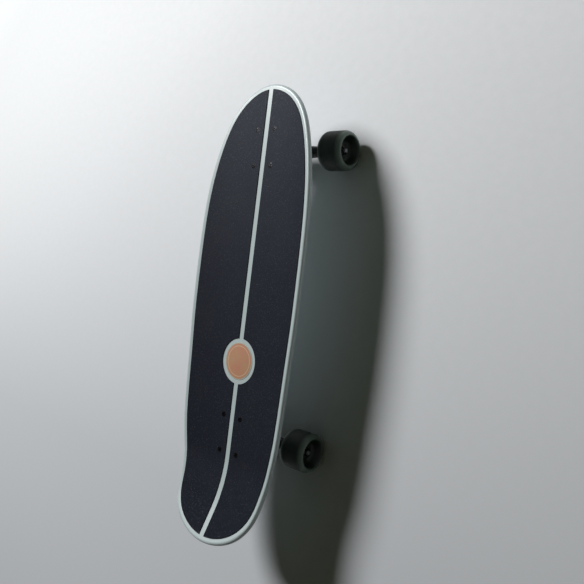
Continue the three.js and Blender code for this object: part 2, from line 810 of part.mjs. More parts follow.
// Wheel from its inner face at zero to its outer face
function makeWheel() {
  const seat = bearingRadius + clearance;
  const shoulder = seat - bearingShoulder;
  const innerHub = wheelInset - clearance;
  const innerStop = wheelInset + bearingWidth + clearance;
  const outerStop = wheelInset + bearingWidth + bearingSpacing - clearance;
  const outerHub = wheelInset + bearingWidth + bearingSpacing + bearingWidth + clearance;
  const lipPoint = (share) => [
    wheelRadius - lipHeight * (1 - Math.sin(share * Math.PI / 2)),
    lipReach * (1 - Math.cos(share * Math.PI / 2)),
  ];
  const innerLip = [0, 1 / 3, 2 / 3, 1].map(lipPoint);
  const outerLip = innerLip.map(([radius, along]) => [radius, wheelWidth - along]).reverse();
  return turned([
    [seat, innerHub], [hubRadius, innerHub], [hubRadius + hubFaceStep, innerHub - hubFaceStep],
    [mouthRadius, hubFaceStep], ...innerLip, ...outerLip,
    [mouthRadius, wheelWidth - hubFaceStep], [hubRadius + hubFlare, outerHub + hubFlare],
    [hubRadius, outerHub], [seat, outerHub],
    [seat, outerStop], [shoulder, outerStop], [shoulder, innerStop], [seat, innerStop],
  ], wheelFaces);
}

// Pieces that ride on the deck
const board = new THREE.Group();
board.add(named('deck', makeDeck(), finishes.deck));
board.add(named('grip_left', gripHalf(-1), finishes.grip));
board.add(named('grip_right', gripHalf(1), finishes.grip));
const badge = named('badge', makeBadge(), finishes.badge);
badge.position.set(0, badgeForward, 0);
board.add(badge);

for (const { name, end, x, y } of boltPlaces) {
  const { nutTop, boltEnd } = stacks[end];
  const bolt = named(`deck_bolt_${name}`, turned(boltProfile(0, gripTop, boltEnd), smallFaces), finishes.blackSteel);
  bolt.position.set(x, y, 0);
  const nutShape = hexagonNut(nutAcrossFlats, boltDiameter / 2 + clearance, nutThickness);
  const nut = named(`deck_nut_${name}`, nutShape, finishes.blackSteel);
  nut.position.set(x, y, nutTop - nutThickness);
  board.add(bolt, nut);
}

// Truck pieces, each placed in its truck's frame
function makeTruck(end) {
  const truck = new THREE.Group();
  const { riserTop, riserBottom } = stacks[end];
  const outer = end === 'front' ? frontPlateOuterMargin : rearPlateOuterMargin;
  const shape = plateShape(end, outer + riserMargin, plateWidth + 2 * riserMargin);
  const [low, high] = [axleDrop + riserBottom, axleDrop + riserTop];
  const riser = cutFrom(prism(shape, low, high), ...plateHoles(end, low, high));
  truck.add(named(`${end}_riser`, riser, finishes.riser));
  const plate = end === 'front' ? makeFrontPlate() : makeRearPlate();
  truck.add(named(`${end}_base_plate`, plate, finishes.cast));

  const steering = new THREE.Group();
  steering.position.copy(ringCentre);
  steering.quaternion.setFromUnitVectors(new THREE.Vector3(0, 0, 1), kingpinLine);
  const kingpinNut = named(`${end}_kingpin_nut`,
    hexagonNut(kingpinNutAcrossFlats, kingpinRadius + clearance, kingpinNutHeight), finishes.steel);
  kingpinNut.position.set(0, 0, nutBelow);
  steering.add(named(`${end}_kingpin`, makeKingpin(), finishes.steel), kingpinNut);
  steering.add(named(`${end}_upper_bushing`, makeUpperBushing(), finishes.bushing));
  steering.add(named(`${end}_lower_bushing`, makeLowerBushing(), finishes.bushing));
  truck.add(steering);

  const cup = named(`${end}_pivot_cup`, makeCup(), finishes.riser);
  cup.position.copy(steerPivot);
  cup.quaternion.setFromUnitVectors(new THREE.Vector3(0, 0, 1), steerLine);
  truck.add(cup, named(`${end}_hanger`, makeHanger(), finishes.cast));

  const axle = named(`${end}_axle`, makeAxle(), finishes.steel);
  axle.rotation.y = Math.PI / 2;
  truck.add(axle);
  return truck;
}

// Both ends of an axle: two bearings, a wheel and a nut on each
function addWheels(truck, end) {
  for (const [side, across] of [['left', -1], ['right', 1]]) {
    const local = end === 'front' ? -across : across;
    const hub = new THREE.Group();
    hub.rotation.y = local * Math.PI / 2;
    const wheel = named(`${end}_${side}_wheel`, makeWheel(), finishes.wheel);
    wheel.position.z = wheelFrom;
    hub.add(wheel);
    for (const [place, from] of [['inner', innerBearingFrom], ['outer', outerBearingFrom]]) {
      const race = ring(axleRadius + clearance, bearingRadius, 0, bearingWidth, bearingFaces);
      const bearing = named(`${end}_${side}_${place}_bearing`, race, finishes.steel);
      bearing.position.z = from;
      hub.add(bearing);
    }
    const nutShape = hexagonNut(axleNutAcrossFlats, axleRadius + clearance, axleNutThickness);
    const nut = named(`${end}_${side}_axle_nut`, nutShape, finishes.steel);
    nut.position.z = axleNutFrom;
    hub.add(nut);
    truck.add(hub);
  }
}

const rearTruck = makeTruck('rear');
addWheels(rearTruck, 'rear');
rearTruck.position.set(0, -rearAxleOffset, -axleDrop);

const frontTruck = makeTruck('front');
addWheels(frontTruck, 'front');
frontTruck.position.set(0, wheelbase + frontAxleOffset, -axleDrop);
frontTruck.rotation.z = Math.PI;

// The swing arm's own bolt, nut, bearing and spring stand round its tilted pivot line
const swing = new THREE.Group();
swing.position.copy(swingPivot);
swing.quaternion.setFromUnitVectors(new THREE.Vector3(0, 0, 1), swingLine);
const swingNut = named('swing_nut',
  hexagonNut(swingNutAcrossFlats, swingBoltRadius + clearance, swingNutHeight), finishes.steel);
swingNut.position.z = -eyeThickness - clearance - swingNutHeight;
const swingRace = ring(swingBoltRadius + clearance, swingBearingRadius, 0, swingBearingHeight, bearingFaces);
const swingBearing = named('swing_bearing', swingRace, finishes.steel);
swingBearing.position.z = clearance;
swing.add(named('swing_bolt', makeSwingBolt(), finishes.steel), swingNut, swingBearing);
swing.add(named('swing_spring', sweptWire(springPoints(), springWire / 2), finishes.steel));
frontTruck.add(swing, named('swing_arm', makeSwingArm(), finishes.cast));

board.add(rearTruck, frontTruck);

// Origin at the middle of the object's box, on the ground under its wheels
board.updateMatrixWorld(true);
const box = new THREE.Box3().setFromObject(board, true);
board.position.set(0, -(box.min.y + box.max.y) / 2, -box.min.z);
board.updateMatrixWorld(true);

const show = (vector) => vector.toArray().map((value) => value.toFixed(3)).join(' ');
const from = (frame, point) => show(frame.localToWorld(point.clone()));
const along = (frame, line) => show(line.clone().transformDirection(frame.matrixWorld));
console.log('deck centre over the rear bolts', show(board.position));
console.log('least gap in the spring', leastSpringGap().toFixed(3));
console.log('front swing', from(frontTruck, swingPivot), 'along', along(frontTruck, swingLine));
for (const [name, frame] of [['front', frontTruck], ['rear', rearTruck]]) {
  console.log(name, 'steering', from(frame, steerPivot), 'along', along(frame, steerLine));
  console.log(name, 'axle', from(frame, inPlane(0, 0)));
}
console.log('swing limit', swingLimit / degree, 'steer limit', steerLimit / degree);

export default board;
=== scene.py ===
# %% [markdown]
# Surf skateboard.
# The board stands on its four wheels: +X to the right, +Y to the nose, +Z up, in metres.
# The imported CAD model is the frame. It gives every place and the bodies that move.
# This lesson dresses that frame piece by piece, in the order in which a workshop would make the board:
# the pressed deck and its grip first, then the bolts, the two trucks, and the wheels last.

# %% Load the frame
import json
import math
import bmesh
import bpy
from mathutils import Matrix, Vector


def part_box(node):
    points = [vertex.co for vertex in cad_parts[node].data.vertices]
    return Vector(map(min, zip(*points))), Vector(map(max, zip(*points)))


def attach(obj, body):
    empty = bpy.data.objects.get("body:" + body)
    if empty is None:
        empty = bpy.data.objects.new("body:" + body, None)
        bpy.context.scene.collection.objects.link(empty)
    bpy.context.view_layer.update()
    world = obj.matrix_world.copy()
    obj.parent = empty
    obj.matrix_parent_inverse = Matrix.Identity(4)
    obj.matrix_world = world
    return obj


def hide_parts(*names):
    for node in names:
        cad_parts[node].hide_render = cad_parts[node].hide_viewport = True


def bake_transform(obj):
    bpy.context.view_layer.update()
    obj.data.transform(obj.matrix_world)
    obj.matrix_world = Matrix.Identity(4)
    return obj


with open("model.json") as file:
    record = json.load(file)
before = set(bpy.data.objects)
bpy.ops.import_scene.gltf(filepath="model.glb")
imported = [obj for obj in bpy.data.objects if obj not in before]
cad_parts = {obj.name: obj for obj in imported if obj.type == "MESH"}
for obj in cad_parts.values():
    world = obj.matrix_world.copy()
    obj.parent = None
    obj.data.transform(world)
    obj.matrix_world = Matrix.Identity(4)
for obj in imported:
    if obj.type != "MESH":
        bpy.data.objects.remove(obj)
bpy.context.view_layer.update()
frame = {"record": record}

# %% [markdown]
# Places.
# Sizes are written in millimetres, as they are in the CAD, and each finished mesh is scaled once.
# The board's own frame has its origin on the deck's top, in the middle of the rear bolt pattern.
# A truck's frame has its origin at the middle of its axle, with +Y towards the middle of the board.
# All three are read from the frame's nodes, so that they follow the CAD when it changes.

# %% Frames to build in
MM = 0.001
GRIP_TOP = 1.3
BOLT_SPACING_ACROSS = 41.3
BOLT_SPACING_ALONG = 63.5
WHEELBASE = 508.0


def middle_of(node):
    low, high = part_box(node)
    return (low + high) / 2


rear_bolts = [middle_of(f"deck_bolt_rear_{row}_left") for row in ("outer", "inner")]
deck_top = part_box("deck_bolt_rear_inner_left")[1].z - GRIP_TOP * MM
board_origin = Vector((0, (rear_bolts[0].y + rear_bolts[1].y) / 2, deck_top))
to_metres = Matrix.Scale(MM, 4)
on_board = Matrix.Translation(board_origin) @ to_metres
on_truck = {
    "rear": Matrix.Translation(middle_of("rear_axle")) @ to_metres,
    "front": Matrix.Translation(middle_of("front_axle")) @ Matrix.Rotation(math.pi, 4, "Z") @ to_metres,
}
print("board frame at", [round(v, 5) for v in board_origin])

# %% [markdown]
# Camera.
# The photograph looks down on the board from its right, about 49 degrees above the floor.
# The place, the aim, the roll and the lens were solved from the outline and the eight bolts.
# A camera is easiest to read as a place, a point it looks at, and a roll about that line.

# %% Camera at the photograph's angle
CAMERA_PLACE = Vector((0.81182, 0.07653, 0.93342))
CAMERA_AIM = Vector((0.10476, 0.04770, 0.12180))
CAMERA_ROLL = math.radians(-6.942)
CAMERA_LENS = 40.202
CAMERA_SENSOR = 36

camera_data = bpy.data.cameras.new("photo_camera")
camera_data.sensor_width = CAMERA_SENSOR
camera_data.lens = CAMERA_LENS
camera = bpy.data.objects.new("photo_camera", camera_data)
bpy.context.scene.collection.objects.link(camera)
backward = (CAMERA_PLACE - CAMERA_AIM).normalized()
level_up = (Vector((0, 1, 0)) - backward * backward.y).normalized()
level_right = level_up.cross(backward)
camera_up = level_up * math.cos(CAMERA_ROLL) + level_right * math.sin(CAMERA_ROLL)
camera_right = camera_up.cross(backward)
camera.matrix_world = Matrix.Translation(CAMERA_PLACE) @ Matrix(
    (camera_right, camera_up, backward)).transposed().to_4x4()
bpy.context.scene.camera = camera
print("camera", round((CAMERA_PLACE - CAMERA_AIM).length, 3), "m from the deck")

# %% [markdown]
# Node trees.
# Geometry trees and materials are both made of nodes joined by links.
# A few small helpers keep the rest readable: one puts a node down and feeds its inputs, one starts a tree
# with named inputs and outputs, one ends a geometry tree, and a class lets sums be written as sums.
# Every geometry tree ends alike: instances made real, because an export drops them, and a material set.

# %% Helpers for node trees
def feed(tree, value, socket):
    """A link where the value comes out of a node, and a plain setting where it is a number or a name."""
    if isinstance(value, Amount):
        value = value.socket
    if isinstance(value, bpy.types.NodeSocket):
        tree.links.new(value, socket)
    else:
        socket.default_value = value


def put(tree, kind, inputs=None, **settings):
    node = tree.nodes.new(kind)
    for name, value in settings.items():
        setattr(node, name, value)
    for name, value in (inputs or {}).items():
        feed(tree, value, node.inputs[name])
    return node


def new_tree(name, kind, inputs, outputs):
    """A tree with named inputs, each with its type of socket and its default, and with named outputs."""
    tree = bpy.data.node_groups.new(name, kind)
    for label, socket_type, default in inputs:
        socket = tree.interface.new_socket(label, in_out="INPUT", socket_type="NodeSocket" + socket_type)
        if default is not None:
            socket.default_value = default
    for label, socket_type in outputs:
        tree.interface.new_socket(label, in_out="OUTPUT", socket_type="NodeSocket" + socket_type)
    return tree, tree.nodes.new("NodeGroupInput").outputs, tree.nodes.new("NodeGroupOutput").inputs


def geometry_tree(name, inputs):
    """A tree that makes a piece, and asks for its material last."""
    inputs = [*inputs, ("Material", "Material", None)]
    return new_tree(name, "GeometryNodeTree", inputs, [("Piece", "Geometry")])


def hand_out(tree, takes, gives, geometry):
    real = put(tree, "GeometryNodeRealizeInstances", {"Geometry": geometry}).outputs[0]
    dressed = put(tree, "GeometryNodeSetMaterial", {"Geometry": real, "Material": takes["Material"]})
    feed(tree, dressed.outputs[0], gives["Piece"])
    print(tree.name, "tree has", len(tree.nodes), "nodes")


class Amount:
    """A number that flows through a node tree."""

    def __init__(self, tree, socket):
        self.tree, self.socket = tree, socket

    def work(self, operation, *others):
        node = put(self.tree, "ShaderNodeMath", operation=operation)
        for socket, value in zip(node.inputs, (self, *others)):
            feed(self.tree, value, socket)
        return Amount(self.tree, node.outputs[0])

    def __add__(self, other):
        return self.work("ADD", other)

    def __sub__(self, other):
        return self.work("SUBTRACT", other)

    def __mul__(self, other):
        return self.work("MULTIPLY", other)

    def __truediv__(self, other):
        return self.work("DIVIDE", other)

    def at_least(self, other):
        return self.work("MAXIMUM", other)

    def at_most(self, other):
        return self.work("MINIMUM", other)


# %% [markdown]
# Mesh helpers.
# A piece is made in its own millimetres, and its place goes into the mesh at the end.
# The object then sits at the origin, unturned and unscaled, as the frame's own nodes do.
# Edges sharper than 32 degrees stay crisp, and the rest are shaded smooth.

# %% Helpers for meshes
SHARP_ANGLE = math.radians(32)
MERGE = 0.0005


def new_object(name, mesh):
    piece = bpy.data.objects.new(name, mesh)
    bpy.context.scene.collection.objects.link(piece)
    return piece


def from_faces(name, points, faces):
    mesh = bpy.data.meshes.new(name)
    mesh.from_pydata([tuple(point) for point in points], [], faces)
    return new_object(name, mesh)


def drop(*pieces):
    for piece in pieces:
        bpy.data.objects.remove(piece, do_unlink=True)


def tidy(piece):
    """Shared points merged, faces outwards, and smooth shading between the crisp edges."""
    work = bmesh.new()
    work.from_mesh(piece.data)
    bmesh.ops.remove_doubles(work, verts=work.verts, dist=MERGE)
    bmesh.ops.dissolve_degenerate(work, edges=work.edges, dist=MERGE)
    bmesh.ops.recalc_face_normals(work, faces=work.faces)
    work.to_mesh(piece.data)
    work.free()
    piece.data.shade_smooth()
    piece.data.set_sharp_from_angle(angle=SHARP_ANGLE)
    return piece


def baked(piece, name=None):
    """The piece with its modifiers turned into a plain mesh."""
    evaluated = piece.evaluated_get(bpy.context.evaluated_depsgraph_get())
    mesh = bpy.data.meshes.new_from_object(evaluated)
    result = new_object(name or piece.name, mesh)
    drop(piece)
    return result


def combine(piece, tool, operation="DIFFERENCE"):
    modifier = piece.modifiers.new("combine", "BOOLEAN")
    modifier.operation, modifier.solver, modifier.object = operation, "EXACT", tool


def cut(piece, *tools):
    name = piece.name
    for tool in tools:
        combine(piece, tool)
    result = baked(piece, name)
    drop(*tools)
    return tidy(result)


def moved(piece, matrix):
    piece.data.transform(matrix)
    return piece


def lifted(height):
    return Matrix.Translation((0, 0, height))


def painted(piece, material):
    """The piece in one material, whatever its tools and bodies had."""
    piece.data.materials.clear()
    piece.data.materials.append(material)
    return piece


def merged(name, *pieces):
    """Several shells as one mesh."""
    work = bmesh.new()
    for piece in pieces:
        work.from_mesh(piece.data)
    mesh = bpy.data.meshes.new(name)
    work.to_mesh(mesh)
    work.free()
    result = new_object(name, mesh)
    for material in pieces[0].data.materials:
        mesh.materials.append(material)
    drop(*pieces)
    return result


# %% [markdown]
# Settling a piece.
# Each finished piece is told its place, the body that it rides on, and the CAD nodes that it stands for. A
# soft piece between two bodies is fixed in its place and rides on neither.
# What a geometry tree makes is turned into a plain mesh before any of this, and its modifier goes.

# %% Settling and growing
def settle(piece, name, body, slot, matrix, *nodes, bends=None):
    """A finished piece in its place: it rides on its body and stands for the named CAD nodes.
    A piece that bends is fixed in its place and rides on no body."""
    piece.name = name
    moved(piece, matrix)
    piece.data.name = name
    piece.data.shade_smooth()
    piece.data.set_sharp_from_angle(angle=SHARP_ANGLE)
    if bends:
        other, low, high = bends
        matrix @ Vector((0, 0, low))
        matrix @ Vector((0, 0, high))
        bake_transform(piece)
    else:
        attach(piece, body)
    if nodes:
        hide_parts(*nodes)


def grown(source, tree, **values):
    """Runs a geometry tree on a source and keeps what it makes as a plain mesh in one material."""
    modifier = source.modifiers.new(tree.name, "NODES")
    modifier.node_group = tree
    for item in tree.interface.items_tree:
        if item.item_type == "SOCKET" and item.in_out == "INPUT" and item.name in values:
            modifier[item.identifier] = values[item.name]
    result = tidy(baked(source))
    return painted(result, values["Material"]) if values["Material"] else result


# %% [markdown]
# Effects shared by the finishes.
# Close up, no surface is one colour: there is a fine grain, a film of dust, and wear on the edges.
# Each of these three is one shader group with named inputs, placed in many materials with its own values.
# Object coordinates are in metres, so a scale of 1000 gives marks about a millimetre across.

# %% Shared effects
def shader_group(name, inputs, *outputs):
    return new_tree(name, "ShaderNodeTree", inputs, [(label, "Float") for label in outputs])


def noise(tree, place, scale, detail, **inputs):
    values = {"Vector": place, "Scale": scale, "Detail": detail, **inputs}
    return put(tree, "ShaderNodeTexNoise", values).outputs["Fac"]


def ramp(tree, value, low, high):
    """Zero at low, one at high, and straight between them."""
    node = put(tree, "ShaderNodeMapRange", {"Value": value, "From Min": low, "From Max": high})
    return Amount(tree, node.outputs["Result"])


def eased(tree, share, low, high):
    """A value that goes from low to high as the share goes from zero to one."""
    node = put(tree, "ShaderNodeMapRange", {"Value": share, "To Min": low, "To Max": high})
    return Amount(tree, node.outputs["Result"])


fine_grain, takes, gives = shader_group(
    "fine_grain", [("Place", "Vector", None), ("Scale", "Float", 900.0)], "Grain", "Height")
speckle = noise(fine_grain, takes["Place"], takes["Scale"], 3.0, Roughness=0.6)
feed(fine_grain, ramp(fine_grain, speckle, 0.32, 0.68), gives["Grain"])
feed(fine_grain, speckle, gives["Height"])

dust_film, takes, gives = shader_group(
    "dust_film", [("Place", "Vector", None), ("Scale", "Float", 22.0), ("Amount", "Float", 0.3)], "Dust")
drift = noise(dust_film, takes["Place"], takes["Scale"], 5.0, Roughness=0.65, Distortion=0.4)
motes = noise(dust_film, takes["Place"], 1400.0, 2.0)
drifted, settled = ramp(dust_film, drift, 0.46, 0.72), ramp(dust_film, motes, 0.35, 0.75)
feed(dust_film, drifted * settled * takes["Amount"], gives["Dust"])

worn_edges, takes, gives = shader_group(
    "worn_edges", [("Place", "Vector", None), ("Start", "Float", 0.53), ("Reach", "Float", 0.08)], "Wear")
corner = Amount(worn_edges, put(worn_edges, "ShaderNodeNewGeometry").outputs["Pointiness"])
standing_out = ((corner - takes["Start"]) / takes["Reach"]).at_least(0.0).at_most(1.0)
broken = ramp(worn_edges, noise(worn_edges, takes["Place"], 420.0, 4.0), 0.40, 0.62)
feed(worn_edges, standing_out * broken, gives["Wear"])
print("shared effects", [group.name for group in bpy.data.node_groups])

# %% [markdown]
# Finishes.
# Most pieces take one recipe with their own values: two close colours mixed by the grain,
# bare metal where the edges wear, dust on top, and a fine bump from the same grain.
# What is the same all over a surface is set on the shader itself, and only what changes comes in by a link.

# %% The common recipe
DUST_SCALE = 22.0


def chip(red, green, blue):
    """A paint chip's 0 to 255 colour as the linear colour that a shader takes."""
    linear = [((v / 255 + 0.055) / 1.055) ** 2.4 if v > 10 else v / 255 / 12.92 for v in (red, green, blue)]
    return (*linear, 1.0)


def effect(tree, group, **inputs):
    node = tree.nodes.new("ShaderNodeGroup")
    node.node_tree = group
    for name, value in inputs.items():
        feed(tree, value, node.inputs[name])
    return node.outputs


def mixed(tree, share, first, second):
    node = put(tree, "ShaderNodeMix", data_type="RGBA")
    for index, value in ((0, share), (6, first), (7, second)):
        feed(tree, value, node.inputs[index])
    return node.outputs[2]


def bare_material(name):
    material = bpy.data.materials.new(name)
    material.use_nodes = True
    tree = material.node_tree
    place = put(tree, "ShaderNodeTexCoord").outputs["Object"]
    return material, tree, tree.nodes["Principled BSDF"], place


def dusted(tree, shader, place, colour, scale, amount, dust_colour):
    """The last layer of a finish: its colour under a film of dust."""
    film = effect(tree, dust_film, Place=place, Scale=scale, Amount=amount)["Dust"]
    feed(tree, mixed(tree, film, colour, dust_colour), shader.inputs["Base Color"])


def bumped(tree, shader, height, distance, strength=1.0):
    bump = put(tree, "ShaderNodeBump", {"Height": height, "Distance": distance, "Strength": strength})
    feed(tree, bump.outputs["Normal"], shader.inputs["Normal"])


def finish(name, colour, shade, rough, grain=900.0, bump=0.0001, metal=0.0, worn=None,
           dust=0.25, dust_colour=chip(150, 146, 138), coat=0.0):
    material, tree, shader, place = bare_material(name)
    grained = effect(tree, fine_grain, Place=place, Scale=grain)
    surface = mixed(tree, grained["Grain"], colour, shade)
    shader.inputs["Metallic"].default_value = metal
    if worn:
        wear = effect(tree, worn_edges, Place=place)["Wear"]
        surface = mixed(tree, wear, surface, worn)
        if metal < 1:
            feed(tree, eased(tree, wear, metal, 1.0), shader.inputs["Metallic"])
    dusted(tree, shader, place, surface, DUST_SCALE, dust, dust_colour)
    feed(tree, eased(tree, grained["Grain"], *rough), shader.inputs["Roughness"])
    shader.inputs["Coat Weight"].default_value = coat
    bumped(tree, shader, grained["Height"], bump)
    return material


# %% [markdown]
# The finishes themselves.
# Each one gives the recipe two colours, a range of roughness, the scale of its grain and a height of bump.
# The castings are coated black and wear to bare metal at their edges. Steel is blackened, plated or bright.
# Rubber is dull, and the bushings' urethane is a little glossier.

# %% Metal, rubber and urethane
cast_black = finish("cast_black", chip(26, 27, 30), chip(36, 38, 41), (0.42, 0.58), grain=1500.0,
                    bump=0.00012, worn=chip(150, 152, 156), dust=0.2)
black_oxide = finish("black_oxide", chip(15, 15, 17), chip(30, 31, 34), (0.28, 0.42), grain=2600.0,
                     bump=0.00003, metal=1.0, worn=chip(120, 120, 122), dust=0.15)
bright_steel = finish("bright_steel", chip(176, 178, 181), chip(150, 153, 157), (0.2, 0.38), grain=1800.0,
                      bump=0.00004, metal=1.0, dust=0.2, dust_colour=chip(96, 92, 86))
bearing_steel = finish("bearing_steel", chip(112, 115, 118), chip(88, 91, 95), (0.26, 0.42),
                       grain=1800.0, bump=0.00004, metal=1.0, dust=0.3, dust_colour=chip(70, 68, 62))
zinc_steel = finish("zinc_steel", chip(164, 168, 170), chip(138, 143, 147), (0.3, 0.48), grain=1200.0,
                    bump=0.00005, metal=1.0, dust=0.3, dust_colour=chip(100, 96, 88))
riser_rubber = finish("riser_rubber", chip(24, 25, 26), chip(36, 37, 38), (0.7, 0.86), grain=1100.0,
                      bump=0.00012, dust=0.3)
shield_rubber = finish("shield_rubber", chip(18, 19, 20), chip(28, 29, 31), (0.45, 0.6), grain=2000.0,
                       bump=0.00004, dust=0.3)
nut_nylon = finish("nut_nylon", chip(196, 198, 194), chip(172, 174, 168), (0.35, 0.5), grain=1600.0,
                   bump=0.00003, dust=0.3)
bushing_urethane = finish("bushing_urethane", chip(30, 44, 38), chip(24, 36, 32), (0.3, 0.45),
                          grain=500.0, bump=0.00005, dust=0.22, coat=0.15)
print("finishes", sorted(material.name for material in bpy.data.materials))

# %% [markdown]
# Turning.
# Bolts, bushings, bearings and wheels are all round, and a lathe makes them from one outline.
# The tree lays a grid, looks up the outline's point for each row of the grid, and carries it round the axis.
# A revolved curve or the Screw modifier would also do, but a tree keeps the number of faces as a named input.

# %% A lathe as a geometry tree
turning, takes, gives = geometry_tree("turning", [("Outline", "Geometry", None), ("Faces", "Int", 64)])
size = put(turning, "GeometryNodeAttributeDomainSize", {"Geometry": takes["Outline"]})
count = size.outputs["Point Count"]
faces = Amount(turning, takes["Faces"])
blank = put(turning, "GeometryNodeMeshGrid", {"Vertices X": faces + 1, "Vertices Y": count})
index = Amount(turning, put(turning, "GeometryNodeInputIndex").outputs["Index"])
step = (index / count).work("FLOOR")
looked_up = put(turning, "GeometryNodeSampleIndex", {
    "Geometry": takes["Outline"], "Index": index - step * count,
    "Value": put(turning, "GeometryNodeInputPosition").outputs["Position"]}, data_type="FLOAT_VECTOR")
point = put(turning, "ShaderNodeSeparateXYZ", {"Vector": looked_up.outputs["Value"]}).outputs
turn = step * math.tau / faces
radius = Amount(turning, point["X"])
carried = put(turning, "ShaderNodeCombineXYZ", {
    "X": radius * turn.work("COSINE"), "Y": radius * turn.work("SINE"), "Z": point["Z"]}).outputs[0]
shell = put(turning, "GeometryNodeSetPosition", {"Geometry": blank.outputs["Mesh"], "Position": carried})
closed = put(turning, "GeometryNodeMergeByDistance", {"Geometry": shell.outputs[0], "Distance": MERGE})
hand_out(turning, takes, gives, closed.outputs[0])

# %% [markdown]
# Outlines for the lathe.
# An outline is a list of corners, each a radius and a height in millimetres.
# No real edge is quite sharp, so every corner is eased by a short curve before the outline is turned.
# A Bevel modifier could ease the finished piece too, but here the outline keeps full control of each edge.

# %% Outlines and plain round pieces
EASE_STEPS = 4
LARGEST_EASE = 0.45


def eased_outline(corners, ease):
    """The outline with its corners rounded. A corner may bring its own ease as a third number."""
    closed_up = corners[0][0] > 0
    count = len(corners)
    points = []
    for i, corner in enumerate(corners):
        here = Vector(corner[:2])
        if not closed_up and i in (0, count - 1):
            points.append(here)
            continue
        before = Vector(corners[i - 1][:2]) - here
        after = Vector(corners[(i + 1) % count][:2]) - here
        own_ease = corner[2] if len(corner) > 2 else ease
        reach = min(own_ease, before.length * LARGEST_EASE, after.length * LARGEST_EASE)
        first, last = here + before.normalized() * reach, here + after.normalized() * reach
        for t in (k / EASE_STEPS for k in range(EASE_STEPS + 1)):
            points.append(first * (1 - t) ** 2 + here * 2 * t * (1 - t) + last * t ** 2)
    if closed_up:
        points.append(points[0])
    return points


def turned(name, corners, faces=64, material=None, ease=0.4):
    source = from_faces(name, [(x, 0, z) for x, z in eased_outline(corners, ease)], [])
    return grown(source, turning, Faces=faces, Material=material)


def rod(name, radius, low, high, faces=64, ease=0.0, material=None):
    return turned(name, [(0, low), (radius, low), (radius, high), (0, high)], faces, material, ease)


def collar(name, bore, radius, low, high, faces, ease, material):
    return turned(name, [(bore, low), (radius, low), (radius, high), (bore, high)], faces, material, ease)


def aimed(place, direction):
    turn = Vector((0, 0, 1)).rotation_difference(Vector(direction))
    return Matrix.Translation(Vector(place)) @ turn.to_matrix().to_4x4()


# %% [markdown]
# Deck: its outline and its flat blank.
# A deck is seven maple veneers, glued and pressed in a mould, then sawn to its outline and rounded over.
# The outline follows an ellipse times nine shares read from the photograph.
# It is blunt at the tail and finer at the nose.
# The blank is made flat here, as rings of points round the deck, closer where the outline turns fastest.

# %% Deck blank
DECK_LENGTH = 809.1
DECK_WIDTH = 255.7
DECK_THICKNESS = 11.0
NOSE_OVERHANG = 111.4
RAIL_RADIUS = 4.5
OUTLINE_SHARES = (1.714, 1.216, 1.072, 1.0, 1.0, 1.034, 1.116, 1.233, 1.426)
NOSE_END = WHEELBASE + NOSE_OVERHANG
TAIL_END = NOSE_END - DECK_LENGTH
DECK_STATIONS = 220
DECK_ACROSS = 22
RAIL_STEPS = 7


def outline_share(place):
    """A smooth curve through the nine shares, from the tail at 0 to the nose at 1."""
    last = len(OUTLINE_SHARES) - 1
    at = place * last
    i = min(int(at), last - 1)
    t = at - i
    p0, p1, p2, p3 = (OUTLINE_SHARES[min(max(k, 0), last)] for k in (i - 1, i, i + 1, i + 2))
    v0, v1 = (p2 - p0) / 2, (p3 - p1) / 2
    cubed = 2 * p1 - 2 * p2 + v0 + v1
    squared = 3 * p2 - 3 * p1 - 2 * v0 - v1
    return cubed * t ** 3 + squared * t ** 2 + v0 * t + p1


def half_width(along, inset):
    start, end = TAIL_END + inset, NOSE_END - inset
    place = min(max((along - start) / (end - start), 0), 1)
    return (DECK_WIDTH / 2 - inset) * outline_share(place) * 2 * math.sqrt(place * (1 - place))


def crowded(i, count):
    """Shares from 0 to 1 that crowd together at both ends."""
    return (1 - math.cos(math.pi * i / count)) / 2


def shell_over(name, rings):
    """A closed shell over rings of points, each ring joined to the next."""
    size = len(rings[0])
    faces = []
    for i in range(len(rings) - 1):
        for j in range(size):
            here, onward = i * size + j, i * size + (j + 1) % size
            faces.append((here, onward, onward + size, here + size))
    return tidy(from_faces(name, [point for ring in rings for point in ring], faces))


def deck_ring(share):
    round_over = [(RAIL_RADIUS * (1 - math.sin(t)), -RAIL_RADIUS * (1 - math.cos(t)))
                  for t in (math.pi / 2 * i / RAIL_STEPS for i in range(RAIL_STEPS + 1))]
    levels = round_over + [(inset, -DECK_THICKNESS - height) for inset, height in reversed(round_over)]
    across = [i / DECK_ACROSS for i in range(1 - DECK_ACROSS, DECK_ACROSS)]

    def at(part, inset, height):
        along = TAIL_END + inset + share * (DECK_LENGTH - 2 * inset)
        return part * half_width(along, inset), along, height

    return [*(at(part, *levels[0]) for part in across), *(at(1, *level) for level in levels),
            *(at(part, *levels[-1]) for part in reversed(across)),
            *(at(-1, *level) for level in reversed(levels))]


def deck_blank():
    return shell_over("deck_blank", [deck_ring(crowded(i, DECK_STATIONS)) for i in range(DECK_STATIONS + 1)])


print("deck from", round(TAIL_END, 1), "to", NOSE_END, "mm")

# %% [markdown]
# Deck bolts' places and holes.
# Four countersunk bolts go through the deck at each truck. Their heads lie flush with the grip.
# The holes are cut while the deck is flat, with a tool that has the bolt's own outline and a little play.

# %% Bolt places and hole tools
BOLT_RADIUS = 2.5
BOLT_HEAD_RADIUS = 4.7
BOLT_HEAD_EDGE = 0.5
HOLE_PLAY = 0.15
OVERRUN = 5.0

bolt_places = {
    end: [Vector((x * BOLT_SPACING_ACROSS / 2, middle + y * BOLT_SPACING_ALONG / 2, 0))
          for y in (-1, 1) for x in (-1, 1)]
    for end, middle in (("front", WHEELBASE), ("rear", 0.0))
}


